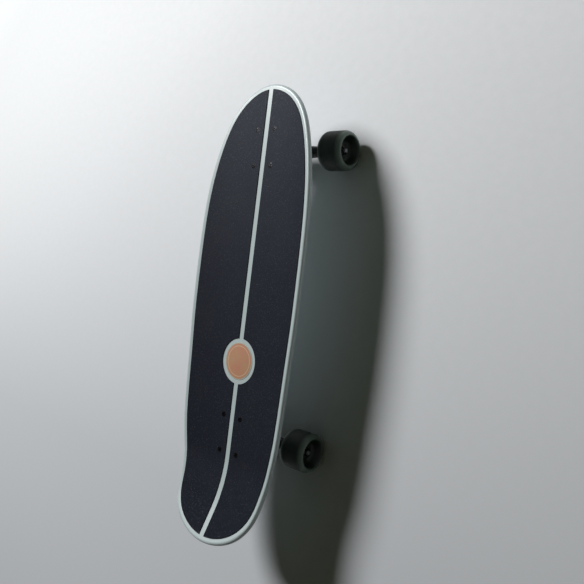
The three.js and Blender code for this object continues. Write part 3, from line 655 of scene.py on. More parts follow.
def bolt_hole(place):
    head, shank = BOLT_HEAD_RADIUS + HOLE_PLAY, BOLT_RADIUS + HOLE_PLAY
    cone = GRIP_TOP - BOLT_HEAD_EDGE
    bottom, top = -DECK_THICKNESS - OVERRUN, GRIP_TOP + OVERRUN
    hole = turned("hole", [
        (0, bottom), (shank, bottom), (shank, cone - (head - shank)), (head, cone), (head, top), (0, top)],
        faces=32, ease=0.0)
    return moved(hole, Matrix.Translation(place))


def bolt_hole_tools():
    return [bolt_hole(place) for places in bolt_places.values() for place in places]


print("bolts", {end: len(places) for end, places in bolt_places.items()})

# %% [markdown]
# Deck: the press.
# The mould gives the flat blank a bowl across its width and a kick at the tail.
# Both follow a rule, so the mould is a geometry tree with the rule's sizes as inputs.
# Everything that lies on the deck goes through the same press, and so it follows the deck exactly.
# The tree also keeps each point's flat place as an attribute, as paint and grain follow the flat veneers.

# %% The press as a geometry tree
BOWL_DEPTH = 13.0
FLAT_WIDTH = 56.0
KICK_START = 37.7
KICK_RADIUS = 221.0
KICK_ANGLE = math.radians(25.65)

press, takes, gives = geometry_tree("deck_press", [
    ("Blank", "Geometry", None), ("Bowl Depth", "Float", BOWL_DEPTH), ("Flat Width", "Float", FLAT_WIDTH),
    ("Deck Width", "Float", DECK_WIDTH), ("Kick Start", "Float", KICK_START),
    ("Kick Radius", "Float", KICK_RADIUS), ("Kick Angle", "Float", KICK_ANGLE)])
bowl, flat, width, start, bend, kick = (Amount(press, takes[label]) for label in (
    "Bowl Depth", "Flat Width", "Deck Width", "Kick Start", "Kick Radius", "Kick Angle"))
flat_place = put(press, "GeometryNodeInputPosition").outputs["Position"]
x, along, height = (Amount(press, socket) for socket in put(
    press, "ShaderNodeSeparateXYZ", {"Vector": flat_place}).outputs)
outside = (x.work("ABSOLUTE") - flat / 2.0).at_least(0.0) / ((width - flat) / 2.0)
rise = bowl * outside * outside + height
past = (along * -1.0 - start).at_least(0.0)
slope = (past / bend).at_most(kick)
straight = past - slope * bend
sine, cosine = slope.work("SINE"), slope.work("COSINE")
pressed_y = along + past - bend * sine - straight * cosine + rise * sine
pressed_z = bend - bend * cosine + straight * sine + rise * cosine
pressed_place = put(press, "ShaderNodeCombineXYZ", {"X": x, "Y": pressed_y, "Z": pressed_z}).outputs[0]
kept = put(press, "GeometryNodeStoreNamedAttribute", {
    "Geometry": takes["Blank"], "Name": "flat_place", "Value": flat_place}, data_type="FLOAT_VECTOR")
formed = put(press, "GeometryNodeSetPosition", {"Geometry": kept.outputs[0], "Position": pressed_place})
hand_out(press, takes, gives, formed.outputs[0])

# %% [markdown]
# Deck paint.
# The deck is painted a pale mint, and it shows as the border, the stripe and the ring round the badge.
# Under the paint the veneers still show a little: long grain along the board, and fine ply lines on the rail.
# The tail's lower edge touches the ground first, so there the paint is rubbed through to the maple.

# %% Mint deck paint
PLIES = 7
RUBBED_LENGTH = 26.0

mint_paint, tree, shader, place = bare_material("mint_deck_paint")
flat = put(tree, "ShaderNodeAttribute", attribute_name="flat_place").outputs["Vector"]
flat_spot = put(tree, "ShaderNodeSeparateXYZ", {"Vector": flat}).outputs
flat_y, flat_z = Amount(tree, flat_spot["Y"]), Amount(tree, flat_spot["Z"])
grain_place = put(tree, "ShaderNodeMapping", {"Vector": flat, "Scale": (0.35, 0.012, 0.35)}).outputs["Vector"]
vein = ramp(tree, noise(tree, grain_place, 1.0, 6.0, Roughness=0.6), 0.38, 0.64)
peel = effect(tree, fine_grain, Place=place, Scale=420.0)
paint = mixed(tree, peel["Grain"], chip(189, 202, 203), chip(181, 195, 197))
below = ramp(tree, flat_z, -DECK_THICKNESS + 1.4, -DECK_THICKNESS + 0.2)
paint = mixed(tree, vein * (below * 0.42 + 0.06), paint, chip(138, 152, 140))
on_rail = ramp(tree, flat_z, -1.2, -2.6) * (below * -1.0 + 1.0)
from_ply = ((flat_z * (PLIES / DECK_THICKNESS)).work("FRACT") - 0.5).work("ABSOLUTE")
ply_line = ramp(tree, from_ply, 0.36, 0.48) * on_rail
paint = mixed(tree, ply_line * 0.34, paint, chip(110, 122, 112))
scuffed = ramp(tree, noise(tree, place, 160.0, 7.0, Roughness=0.7), 0.52, 0.60)
tail = ramp(tree, flat_y, TAIL_END + RUBBED_LENGTH, TAIL_END) * ramp(tree, flat_z, -4.0, -9.5)
rubbed = (scuffed * tail).at_most(1.0)
paint = mixed(tree, rubbed, paint, chip(196, 168, 124))
dusted(tree, shader, place, paint, 14.0, 0.30, chip(150, 152, 142))
feed(tree, eased(tree, peel["Grain"], 0.34, 0.44) + rubbed * 0.35, shader.inputs["Roughness"])
shader.inputs["Coat Weight"].default_value = 0.25
shader.inputs["Coat Roughness"].default_value = 0.22
relief = vein * -0.35 - ply_line - rubbed * 1.5 + Amount(tree, peel["Height"]) * 0.5
bumped(tree, shader, relief, 0.00012)

deck = cut(deck_blank(), *bolt_hole_tools())
deck = grown(deck, press, Material=mint_paint)
settle(deck, "painted_deck", "board", "deck", on_board, "deck")
print("deck", len(deck.data.polygons), "faces, size", [round(v, 4) for v in deck.dimensions])

# %% [markdown]
# Grip sheets.
# Two halves of grit sheet lie on the deck and leave a stripe and a border bare.
# Each half is drawn flat between the stripe and the border's line, a little rounded at its top edge.
# The round window and the bolt holes are cut flat too, and then the half goes through the press.

# %% Grip blank
GRIP_BORDER = 9.5
STRINGER_WIDTH = 11.0
GRIP_LIFT = 0.05
GRIP_ROUND = 0.3
GRIP_STATIONS = 230
GRIP_ACROSS = 26
BADGE_FORWARD = 131.0
BADGE_WINDOW = 81.0


def grip_span():
    """Where the border's line crosses the stripe's edge, at the tail and at the nose."""
    reach = DECK_LENGTH - 2 * GRIP_BORDER
    ends = []
    for end, inward in ((TAIL_END + GRIP_BORDER, 1), (NOSE_END - GRIP_BORDER, -1)):
        low, high = 0.0, reach / 2
        while high - low > 0.001:
            middle = (low + high) / 2
            wide = half_width(end + inward * middle, GRIP_BORDER) > STRINGER_WIDTH / 2
            low, high = (low, middle) if wide else (middle, high)
        ends.append(end + inward * high)
    return ends


def grip_half(side):
    first, last = grip_span()
    inner = STRINGER_WIDTH / 2
    shares = [j / GRIP_ACROSS for j in range(GRIP_ACROSS + 1)]
    rings = []
    for i in range(GRIP_STATIONS + 1):
        along = first + crowded(i, GRIP_STATIONS) * (last - first)
        outer = max(inner, half_width(along, GRIP_BORDER))
        ease = min(GRIP_ROUND, (outer - inner) / 4)
        top = [(inner + ease + share * (outer - inner - 2 * ease), GRIP_TOP) for share in shares]
        bottom = [(inner + share * (outer - inner), GRIP_LIFT) for share in reversed(shares)]
        section = [(inner, GRIP_TOP - ease), *top, (outer, GRIP_TOP - ease), *bottom]
        rings.append([(side * x, along, z) for x, z in section])
    return shell_over("grip_blank", rings)


print("grip from", [round(v, 2) for v in grip_span()], "mm")

# %% [markdown]
# Grit.
# The sheet is silicon carbide grit on dark glue: almost black and rough, in grains of half a millimetre.
# A cell pattern gives the grains. A few of them are painted pale as glints, a painted highlight, and are a
# little less rough, and feet leave a faint pale film.
# The back foot grinds the grains on the kick down, so the sheet is duller there.
# Large, slow patches of two close tones keep the black from being one flat colour.

# %% Grit finish
GROUND_FROM, GROUND_TO = -0.25, -0.33

grit, tree, shader, place = bare_material("grit_sheet")
grains = put(tree, "ShaderNodeTexVoronoi", {"Vector": place, "Scale": 1700.0, "Randomness": 1.0}).outputs
shade = Amount(tree, put(tree, "ShaderNodeSeparateColor", {"Color": grains["Color"]}).outputs["Red"])
slow = ramp(tree, noise(tree, place, 7.0, 3.0, Roughness=0.55), 0.4, 0.6)
sheet = mixed(tree, slow, chip(22, 23, 33), chip(19, 25, 32))
sheet = mixed(tree, shade * 0.4, sheet, chip(32, 35, 46))
# A few grains are painted pale: a painted highlight for grains that glint. Below, they are also made less
# rough.
spark = ramp(tree, shade, 0.95, 0.99)
sheet = mixed(tree, spark * 0.4, sheet, chip(110, 114, 122))
dusted(tree, shader, place, sheet, 9.0, 0.05, chip(120, 118, 114))
along = put(tree, "ShaderNodeSeparateXYZ", {"Vector": place}).outputs["Y"]
ground = ramp(tree, along, GROUND_FROM, GROUND_TO)
feed(tree, spark * -0.3 + ground * 0.27 + 0.58, shader.inputs["Roughness"])
shader.inputs["Specular IOR Level"].default_value = 0.175
shader.inputs["Specular Tint"].default_value = (0.75, 0.83, 1.0, 1.0)
bumped(tree, shader, grains["Distance"], 0.00025, 0.3)

for side, name in ((-1, "left"), (1, "right")):
    window = rod("window", BADGE_WINDOW / 2, -OVERRUN, OVERRUN, faces=160)
    moved(window, Matrix.Translation((0, BADGE_FORWARD, 0)))
    half = cut(grip_half(side), window, *bolt_hole_tools())
    half = grown(half, press, Material=grit)
    settle(half, f"grip_sheet_{name}", "board", "grip", on_board, f"grip_{name}")
    print("grip", name, len(half.data.polygons), "faces")

# %% [markdown]
# Badge.
# A thin disc is stuck in the window of the grip, with plain rings printed in warm, faded tones.
# The rings follow the distance from the disc's middle, so they stay sharp at any size, unlike a picture.

# %% Badge and its print
BADGE_RADIUS = 33.0
BADGE_TOP = 0.5
PRINT_RINGS = ((26.2, 27.1, chip(214, 190, 156)), (31.2, 40.0, chip(172, 180, 168)))
PRINT_EDGE = 0.12

badge_print, tree, shader, place = bare_material("badge_print")
badge_middle = on_board @ Vector((0, BADGE_FORWARD, BADGE_TOP))
reach = Amount(tree, put(tree, "ShaderNodeVectorMath", {0: place, 1: badge_middle},
                         operation="DISTANCE").outputs["Value"]) / MM
fibre = effect(tree, fine_grain, Place=place, Scale=700.0)
ink = mixed(tree, fibre["Grain"], chip(192, 138, 112), chip(184, 128, 101))
ink = mixed(tree, ramp(tree, noise(tree, place, 40.0, 3.0), 0.42, 0.66), ink, chip(182, 143, 110))
for start, end, colour in PRINT_RINGS:
    inside = ramp(tree, reach, start - PRINT_EDGE, start + PRINT_EDGE)
    outside = ramp(tree, reach, end + PRINT_EDGE, end - PRINT_EDGE)
    ink = mixed(tree, inside * outside, ink, colour)
dusted(tree, shader, place, ink, 30.0, 0.2, chip(170, 162, 150))
feed(tree, eased(tree, fibre["Grain"], 0.36, 0.5), shader.inputs["Roughness"])
bumped(tree, shader, fibre["Height"], 0.00004)

badge = rod("badge", BADGE_RADIUS, GRIP_LIFT, BADGE_TOP, faces=160, ease=0.25, material=badge_print)
moved(badge, Matrix.Translation((0, BADGE_FORWARD, 0)))
settle(badge, "round_badge", "board", "badge", on_board, "badge")
print("badge", len(badge.data.polygons), "faces")

# %% [markdown]
# Fasteners in rows.
# Eight bolts and eight nuts are alike, so one of each is made, and a tree sets copies on the hole places.
# Each copy gets its own turn from a fixed seed, as hand-driven screws never line up.
# The copies are realised at the end, because an export keeps only real geometry.

# %% Tree that sets a piece on points
fasteners, takes, gives = geometry_tree("fasteners_on_holes", [
    ("Holes", "Geometry", None), ("Fastener", "Object", None), ("Turn", "Float", math.pi),
    ("Seed", "Int", 7)])
one = put(fasteners, "GeometryNodeObjectInfo", {"Object": takes["Fastener"]}).outputs["Geometry"]
chance = put(fasteners, "FunctionNodeRandomValue", {3: takes["Turn"], 8: takes["Seed"]}, data_type="FLOAT")
spin = put(fasteners, "ShaderNodeCombineXYZ", {"Z": chance.outputs[1]}).outputs[0]
copies = put(fasteners, "GeometryNodeInstanceOnPoints", {
    "Points": takes["Holes"], "Instance": one, "Rotation": spin})
hand_out(fasteners, takes, gives, copies.outputs[0])


def set_on(places, piece, material, seed):
    points = from_faces(piece.name, places, [])
    result = grown(points, fasteners, Fastener=piece, Material=material, Seed=seed)
    drop(piece)
    return result


def threaded(radius, low, high, ease, pitch, depth):
    """Outline corners of a thread, as a row of ridges from low to high."""
    ridges = int((high - low) / pitch)
    corners = []
    for i in range(ridges):
        base = low + i * pitch
        corners += [(radius - depth, base, ease), (radius, base + pitch / 2, ease)]
    return [*corners, (radius - depth, low + ridges * pitch, ease)]


def four_nodes(kind, end):
    """A truck's four bolts or nuts, in the order of their holes."""
    return [f"deck_{kind}_{end}_{row}_{side}" for row in ("outer", "inner") for side in ("left", "right")]


# %% [markdown]
# Deck bolts.
# A countersunk head with a cross recess, a plain shank through the stack, and a thread at its end.
# The recess is two crossed wedges cut into the head.

# %% Deck bolts
BOLT_TAIL = 2.0
BOLT_THREAD = 9.0
BOLT_PITCH = 0.8
DECK_NUT_HEIGHT = 5.0
STACK_GAP = 0.3
PLATE_THICKNESS = 6.0
RISER = {"front": 3.0, "rear": 13.0}


def under_deck(end):
    """Levels of the stack under the deck: riser top and bottom, plate top and bottom, nut top."""
    riser_top = -DECK_THICKNESS - STACK_GAP
    riser_bottom = riser_top - RISER[end]
    plate_top = riser_bottom - STACK_GAP
    plate_bottom = plate_top - PLATE_THICKNESS
    return riser_top, riser_bottom, plate_top, plate_bottom, plate_bottom - STACK_GAP


def extruded(name, outline, low, high, matrix=None, bevel=0.0):
    """A flat outline raised along Z, with its edges eased if a bevel is given."""
    count = len(outline)
    points = [(x, y, low) for x, y in outline] + [(x, y, high) for x, y in outline]
    faces = [tuple(reversed(range(count))), tuple(range(count, 2 * count))]
    faces += [(i, (i + 1) % count, count + (i + 1) % count, count + i) for i in range(count)]
    piece = tidy(from_faces(name, points, faces))
    if bevel:
        ease = piece.modifiers.new("ease", "BEVEL")
        ease.width, ease.segments, ease.limit_method = bevel, 3, "ANGLE"
        ease.angle_limit = math.radians(50)
        piece = tidy(baked(piece))
    return moved(piece, matrix) if matrix else piece


def cross_recess(reach, width, top, depth):
    outline = [(-reach, top + 1), (reach, top + 1), (reach * 0.5, top - depth), (-reach * 0.5, top - depth)]
    upright = Matrix.Rotation(math.pi / 2, 4, "X")
    return [extruded("wedge", outline, -width / 2, width / 2, Matrix.Rotation(turn, 4, "Z") @ upright)
            for turn in (0, math.pi / 2)]


def deck_bolt(end):
    tip = under_deck(end)[4] - DECK_NUT_HEIGHT - BOLT_TAIL
    head_cone = GRIP_TOP - BOLT_HEAD_EDGE
    bolt = turned("bolt", [
        (0, tip), (BOLT_RADIUS - 0.6, tip),
        *threaded(BOLT_RADIUS, tip + 0.5, tip + BOLT_THREAD, 0.05, BOLT_PITCH, 0.28),
        (BOLT_RADIUS, tip + BOLT_THREAD + 0.4), (BOLT_RADIUS, head_cone - (BOLT_HEAD_RADIUS - BOLT_RADIUS)),
        (BOLT_HEAD_RADIUS, head_cone), (BOLT_HEAD_RADIUS, GRIP_TOP), (0, GRIP_TOP)], faces=32, ease=0.12)
    return cut(bolt, *cross_recess(2.5, 0.95, GRIP_TOP, 2.0))


for seed, (end, places) in enumerate(bolt_places.items(), start=3):
    bolts = set_on(places, deck_bolt(end), black_oxide, seed)
    settle(bolts, f"{end}_deck_bolts", "board", "deck_hardware", on_board, *four_nodes("bolt", end))
    print(end, "bolts", len(bolts.data.polygons), "faces")

# %% [markdown]
# Lock nuts.
# A lock nut is a hexagon with turned-off corners and a round collar that grips a nylon ring.
# The corners are taken off with a boolean against a turned barrel, which gives the real curved chamfers.
# One function makes every size on the board, and returns the steel and the nylon as two pieces.

# %% Lock nut
DECK_NUT_ACROSS = 8.0
NUT_SEED = 11
UPSIDE_DOWN = Matrix.Rotation(math.pi, 4, "X")


def lock_nut(across, height, bore, steel):
    corner = across / math.sqrt(3)
    high = height * 0.7
    cone = (corner - across / 2) * 0.6
    hexagon = [(corner * math.cos(k * math.pi / 3), corner * math.sin(k * math.pi / 3)) for k in range(6)]
    nut = extruded("nut", hexagon, 0, high)
    barrel = turned("barrel", [
        (0, 0), (across / 2 * 0.97, 0), (corner + 0.02, cone), (corner + 0.02, high - cone),
        (across / 2 * 0.97, high), (0, high)], faces=48, ease=0.0)
    combine(nut, barrel, "INTERSECT")
    nut = baked(nut)
    drop(barrel)
    nut = cut(nut, rod("bore", bore, -1, height, faces=40))
    rim = turned("rim", [
        (bore * 1.12, high - 0.05), (across * 0.46, high - 0.05), (across * 0.43, height),
        (across * 0.36, height), (bore * 1.2, height - 0.5)], faces=40, ease=0.25)
    ring = turned("nylon", [
        (bore * 0.98, high), (across * 0.35, high), (across * 0.345, height - 0.15),
        (bore * 1.1, height - 0.25)], faces=40, material=nut_nylon, ease=0.2)
    return painted(merged("lock_nut", nut, rim), steel), ring


for end, places in bolt_places.items():
    turned_over = lifted(under_deck(end)[4]) @ UPSIDE_DOWN
    nut, ring = (moved(piece, turned_over) for piece in lock_nut(
        DECK_NUT_ACROSS, DECK_NUT_HEIGHT, BOLT_RADIUS + 0.1, black_oxide))
    nuts = set_on(places, nut, black_oxide, NUT_SEED)
    settle(nuts, f"{end}_deck_nuts", "board", "deck_hardware", on_board, *four_nodes("nut", end))
    rings = set_on(places, ring, nut_nylon, NUT_SEED)
    settle(rings, f"{end}_deck_nut_rings", "board", "deck_hardware", on_board)
print("nuts", len(nuts.data.polygons), "faces a truck")

# %% [markdown]
# Trucks: the lines that everything is built on.
# A truck turns about the line from its pivot cup to the ring round its kingpin.
# The kingpin leans 18 degrees, and the front truck also swings on an arm about a bolt that leans 6 degrees.
# Bushings, nuts and bosses are turned about these lines, so the lines come first.

# %% Truck lines and sizes
AXLE_DROP = 86.0
PATTERN_IN = {"front": 10.0, "rear": 13.5}
STEER_PIVOT = Vector((0, -16, 38))
RING_CENTRE = Vector((0, 23, 14))
STEER_LINE = (RING_CENTRE - STEER_PIVOT).normalized()
STEER_NORMAL = Vector((0, -STEER_LINE.z, STEER_LINE.y))
KINGPIN_TILT = math.radians(18)
KINGPIN_LINE = Vector((0, math.sin(KINGPIN_TILT), -math.cos(KINGPIN_TILT)))
SWING_PIVOT = Vector((0, -43, 50))
SWING_TILT = math.radians(6)
SWING_LINE = Vector((0, -math.sin(SWING_TILT), math.cos(SWING_TILT)))
along_steering = aimed(STEER_PIVOT, STEER_LINE)
along_kingpin = aimed(RING_CENTRE, KINGPIN_LINE)
along_swing = aimed(SWING_PIVOT, SWING_LINE)
home = {node: body for body, nodes in frame["record"]["behaviour"]["bodies"].items() for node in nodes}


def on_steering(along, aside):
    point = STEER_PIVOT + STEER_LINE * along + STEER_NORMAL * aside
    return point.y, point.z


def plate_top(end):
    return AXLE_DROP + under_deck(end)[2]


def rounded_plate(width, start, end, corner, steps=10):
    half = width / 2 - corner
    points = []
    for x, y, turn in ((half, start + corner, -1), (half, end - corner, 0),
                       (-half, end - corner, 1), (-half, start + corner, 2)):
        for i in range(steps + 1):
            angle = (turn + i / steps) * math.pi / 2
            points.append((x + corner * math.cos(angle), y + corner * math.sin(angle)))
    return points


def sideways(name, outline, width):
    """An outline in Y and Z given a width along X."""
    upright = Matrix(((0, 0, 1, 0), (1, 0, 0, 0), (0, 1, 0, 0), (0, 0, 0, 1)))
    return extruded(name, outline, -width / 2, width / 2, upright)


def plate_holes(end, low, high):
    return [moved(rod("hole", BOLT_RADIUS + HOLE_PLAY, low, high, faces=32), Matrix.Translation((
        x * BOLT_SPACING_ACROSS / 2, PATTERN_IN[end] + y * BOLT_SPACING_ALONG / 2, 0)))
            for x in (-1, 1) for y in (-1, 1)]


print("steering line", [round(v, 4) for v in STEER_LINE])

# %% [markdown]
# Risers.
# A hard rubber pad sits between the deck and each truck and takes up the noise.
# The rear one is thick, to level the board with the taller front truck.
# A thick pad is moulded with grooves round its side, which save rubber and let it give a little.

# %% Riser pads
PLATE_WIDTH = 56.0
PLATE_CORNER = 12.0
PLATE_INNER = 8.5
EYE_RADIUS = 20.5
RISER_LAYER = 3.2
RISER_LAP = 0.02
PLATE_OUTER = {
    "front": -SWING_PIVOT.y + PATTERN_IN["front"] - BOLT_SPACING_ALONG / 2 + EYE_RADIUS,
    "rear": 15.5,
}


def plate_outline(end, grow):
    middle = PATTERN_IN[end]
    start = middle - BOLT_SPACING_ALONG / 2 - PLATE_OUTER[end] - grow
    stop = middle + BOLT_SPACING_ALONG / 2 + PLATE_INNER
    return rounded_plate(PLATE_WIDTH + 2 * grow, start, stop, PLATE_CORNER)


for end in ("front", "rear"):
    high, low = (AXLE_DROP + level for level in under_deck(end)[:2])
    layers = max(1, round((high - low) / RISER_LAYER))
    layer = (high - low) / layers
    bodies = [extruded("pad", plate_outline(end, 1.0), low + i * layer - RISER_LAP,
                       low + (i + 1) * layer + RISER_LAP, bevel=min(0.7, layer / 4)) for i in range(layers)]
    if layers > 1:
        bodies.append(extruded("core", plate_outline(end, 0.55), low + 0.5, high - 0.5))
    riser = painted(merged("riser", *bodies), riser_rubber)
    settle(riser, f"{end}_riser_pad", "board", "riser", on_truck[end], f"{end}_riser")
print("risers", RISER)

# %% [markdown]
# Castings.
# Plates, arm and hangers are cast aluminium: thick bodies that flow into each other through soft fillets.
# Turned and extruded bodies are laid over each other, remeshed into one skin with small voxels, and smoothed.
# The smoothing makes the fillets. Bores and faces that a real casting has machined are cut sharp afterwards.

# %% Casting helper
VOXEL = 0.75
SMOOTHING = 7
STEM_RADIUS = 6.0
CUP_RADIUS = 8.6
CUP_DEPTH = 9.0
MOUTH = 6.0
HOUSING_RADIUS = 12.3
HOUSING_BACK = 12.0
KINGPIN_RADIUS = 4.75
KINGPIN_HEAD = 7.5
KINGPIN_SEAT = 9.0
BOSS_RADIUS = 14.5
RING_THICKNESS = 7.0
UPPER_BUSHING = 14.0
LOWER_BUSHING = 11.0
PLAY = 0.3
SEAT_ABOVE = RING_THICKNESS / 2 + PLAY + UPPER_BUSHING + PLAY


def one_skin(block):
    skin = block.modifiers.new("skin", "REMESH")
    skin.mode, skin.voxel_size = "VOXEL", VOXEL


def cast(name, bodies, reliefs=()):
    block = merged(name, *bodies)
    one_skin(block)
    for tool in reliefs:
        combine(block, tool)
    if reliefs:
        one_skin(block)
    soften = block.modifiers.new("soften", "SMOOTH")
    soften.factor, soften.iterations = 0.5, SMOOTHING
    result = baked(block, name)
    drop(*reliefs)
    return result


def machined(casting, *tools):
    return painted(cut(casting, *tools), cast_black)


def seat_tools():
    """The pivot cup's bore, and the kingpin's bore with the pocket for its head."""
    cup_bore, mouth_bore = CUP_RADIUS + 0.1, CUP_RADIUS + 0.9
    cup_floor = -CUP_DEPTH - PLAY
    cup = turned("cup_bore", [
        (0, cup_floor), (cup_bore, cup_floor), (cup_bore, MOUTH - 0.7), (mouth_bore, MOUTH + 0.4),
        (mouth_bore, MOUTH + OVERRUN), (0, MOUTH + OVERRUN)], faces=64, ease=0.0)
    bore, pocket = KINGPIN_RADIUS + PLAY, KINGPIN_HEAD + 0.6
    head_seat, top = -SEAT_ABOVE - KINGPIN_SEAT, OVERRUN - SEAT_ABOVE
    kingpin = turned("kingpin_bore", [
        (0, head_seat - 30), (pocket, head_seat - 30), (pocket, head_seat), (bore, head_seat),
        (bore, top), (0, top)], faces=48, ease=0.0)
    return moved(cup, along_steering), moved(kingpin, along_kingpin)


def boss(height):
    return moved(rod("boss", BOSS_RADIUS, -SEAT_ABOVE - height, -SEAT_ABOVE), along_kingpin)


def flat_face(level):
    """A tool that planes off everything above a level."""
    reach = 150
    square = [(-reach, -reach), (reach, -reach), (reach, reach), (-reach, reach)]
    return extruded("plane", square, level, level + 60)


# %% [markdown]
# Rear base plate.
# The rear plate carries the pivot cup's housing and the kingpin's boss, under a flat flange.
# Four bolts hold the flange to the deck through the riser.

# %% Rear base plate
HOLE_REACH = 12.0

top = plate_top("rear")
mouth_y, mouth_z = on_steering(MOUTH, HOUSING_RADIUS)
back_y, back_z = on_steering(-HOUSING_BACK, -HOUSING_RADIUS)
rear_plate = cast("rear_plate", [
    extruded("flange", plate_outline("rear", 0), top - PLATE_THICKNESS, top + 2),
    sideways("housing", [(mouth_y, mouth_z), (mouth_y, top), (back_y, top), (back_y, back_z),
                         on_steering(MOUTH, -HOUSING_RADIUS)], 26),
    boss(top - 30),
])
rear_plate = machined(rear_plate, flat_face(top), *seat_tools(),
                      *plate_holes("rear", top - HOLE_REACH, top + OVERRUN))
settle(rear_plate, "rear_plate_casting", "board", "truck_casting", on_truck["rear"], "rear_base_plate")
print("rear plate", len(rear_plate.data.polygons), "faces")

# %% [markdown]
# Front base plate.
# The front plate carries a hub for the swing arm's bolt, with a hole beside it for the spring's leg.
# The bolt's head is sunk in the plate from above, so its bore opens into a wide pocket there.

# %% Front base plate
HEAD_WAY = 26.0
HUB_RADIUS = 13.0
SWING_BOLT_RADIUS = 5.0
SWING_HEAD_RADIUS = 8.0
SWING_HEAD_HEIGHT = 5.0
SWING_BEARING = 4.0
EYE_THICKNESS = 14.0
SWING_NUT = 8.0
SWING_NUT_ACROSS = 16.0
SPRING_WIRE = 2.8
SPRING_RADIUS = 16.6
SPRING_PITCH = 3.4
SPRING_CURLS = 2.5
SPRING_BEND = 3.0
SPRING_LEG = 4.0
spring_foot = PLAY + SPRING_WIRE / 2
spring_head = spring_foot + SPRING_CURLS * SPRING_PITCH
top = plate_top("front")
head_seat = ((top - SWING_PIVOT.z) / math.cos(SWING_TILT) - SWING_HEAD_RADIUS * math.tan(SWING_TILT)
             - SWING_HEAD_HEIGHT - 2 * PLAY)


def leg_hole(end):
    """The hole for the spring's leg: in the plate with 1, in the arm with -1."""
    tip = (spring_head if end > 0 else spring_foot) + end * (SPRING_BEND + SPRING_LEG)
    low, high = sorted((tip + end * 0.6, tip - end * (SPRING_WIRE + SPRING_LEG)))
    hole = rod("leg_hole", SPRING_WIRE / 2 + 0.7, low, high, faces=24)
    moved(hole, Matrix.Translation((-end * SPRING_RADIUS, -SPRING_BEND, 0)))
    return moved(hole, along_swing)


front_plate = cast("front_plate", [
    extruded("flange", plate_outline("front", 0), top - PLATE_THICKNESS, top + 2),
    moved(rod("hub", HUB_RADIUS, PLAY + SWING_BEARING + PLAY, top - SWING_PIVOT.z), along_swing),
])
bore, pocket = SWING_BOLT_RADIUS + 0.2, SWING_HEAD_RADIUS + PLAY
bolt_bore = turned("bolt_bore", [
    (0, 0), (bore, 0), (bore, head_seat), (pocket, head_seat), (pocket, head_seat + HEAD_WAY),
    (0, head_seat + HEAD_WAY)], faces=48, ease=0.0)
front_plate = machined(front_plate, flat_face(top), moved(bolt_bore, along_swing), leg_hole(1),
                       *plate_holes("front", top - HOLE_REACH, top + OVERRUN))
settle(front_plate, "front_plate_casting", "board", "truck_casting", on_truck["front"], "front_base_plate")
print("front plate", len(front_plate.data.polygons), "faces")

# %% [markdown]
# Swing arm.
# The arm hangs under the front plate and turns about the swing bolt.
# Its eye takes the bolt, its far end holds the pivot cup and the kingpin, as the rear plate does.

# %% Swing arm
ARM_WIDTH = 28.0
shoulder = SWING_PIVOT.y + EYE_RADIUS
boss_edge = RING_CENTRE.y - SEAT_ABOVE * math.sin(KINGPIN_TILT) - BOSS_RADIUS + PLAY
arm_side = [
    (SWING_PIVOT.y - 10, SWING_PIVOT.z - 1.5), (shoulder, SWING_PIVOT.z - PLAY), (25, 46), (30, 37),
    (boss_edge, 37), on_steering(MOUTH, HOUSING_RADIUS), on_steering(MOUTH, -HOUSING_RADIUS),
    on_steering(-HOUSING_BACK, -HOUSING_RADIUS), (SWING_PIVOT.y + 10, SWING_PIVOT.z - EYE_THICKNESS / 2),
    (SWING_PIVOT.y - 10, SWING_PIVOT.z - EYE_THICKNESS / 2)]
arm = cast("arm", [
    moved(rod("eye", EYE_RADIUS, -EYE_THICKNESS, 0), along_swing),
    sideways("body", arm_side, ARM_WIDTH), boss(KINGPIN_SEAT + 3)])
nut_space = SWING_NUT_ACROSS / math.sqrt(3) + 0.6
under = -EYE_THICKNESS - PLAY - SWING_NUT - OVERRUN
arm = machined(arm, *seat_tools(), leg_hole(-1), moved(rod("bolt_bore", bore, under, OVERRUN), along_swing),
               moved(rod("spot_face", nut_space, under, -EYE_THICKNESS), along_swing))
settle(arm, "swing_arm_casting", home["swing_arm"], "truck_casting", on_truck["front"], "swing_arm")
print("swing arm", len(arm.data.polygons), "faces")

# %% [markdown]
# Hangers.
# A hanger is a beam round the axle, thick in its middle, with a ring for the bushings in front,
# a stem behind that stands in the pivot cup, and two wings that stiffen the ring.
# Round reliefs keep the casting clear of the bushings when it leans.

# %% Hangers
HANGER_HALF = 79.0
HANGER_END = 8.5
HANGER_MIDDLE = 12.0
RING_RADIUS = 17.0
BUSHING_RADIUS = 12.5
LIFT = math.atan2(RING_CENTRE.z, RING_CENTRE.y)


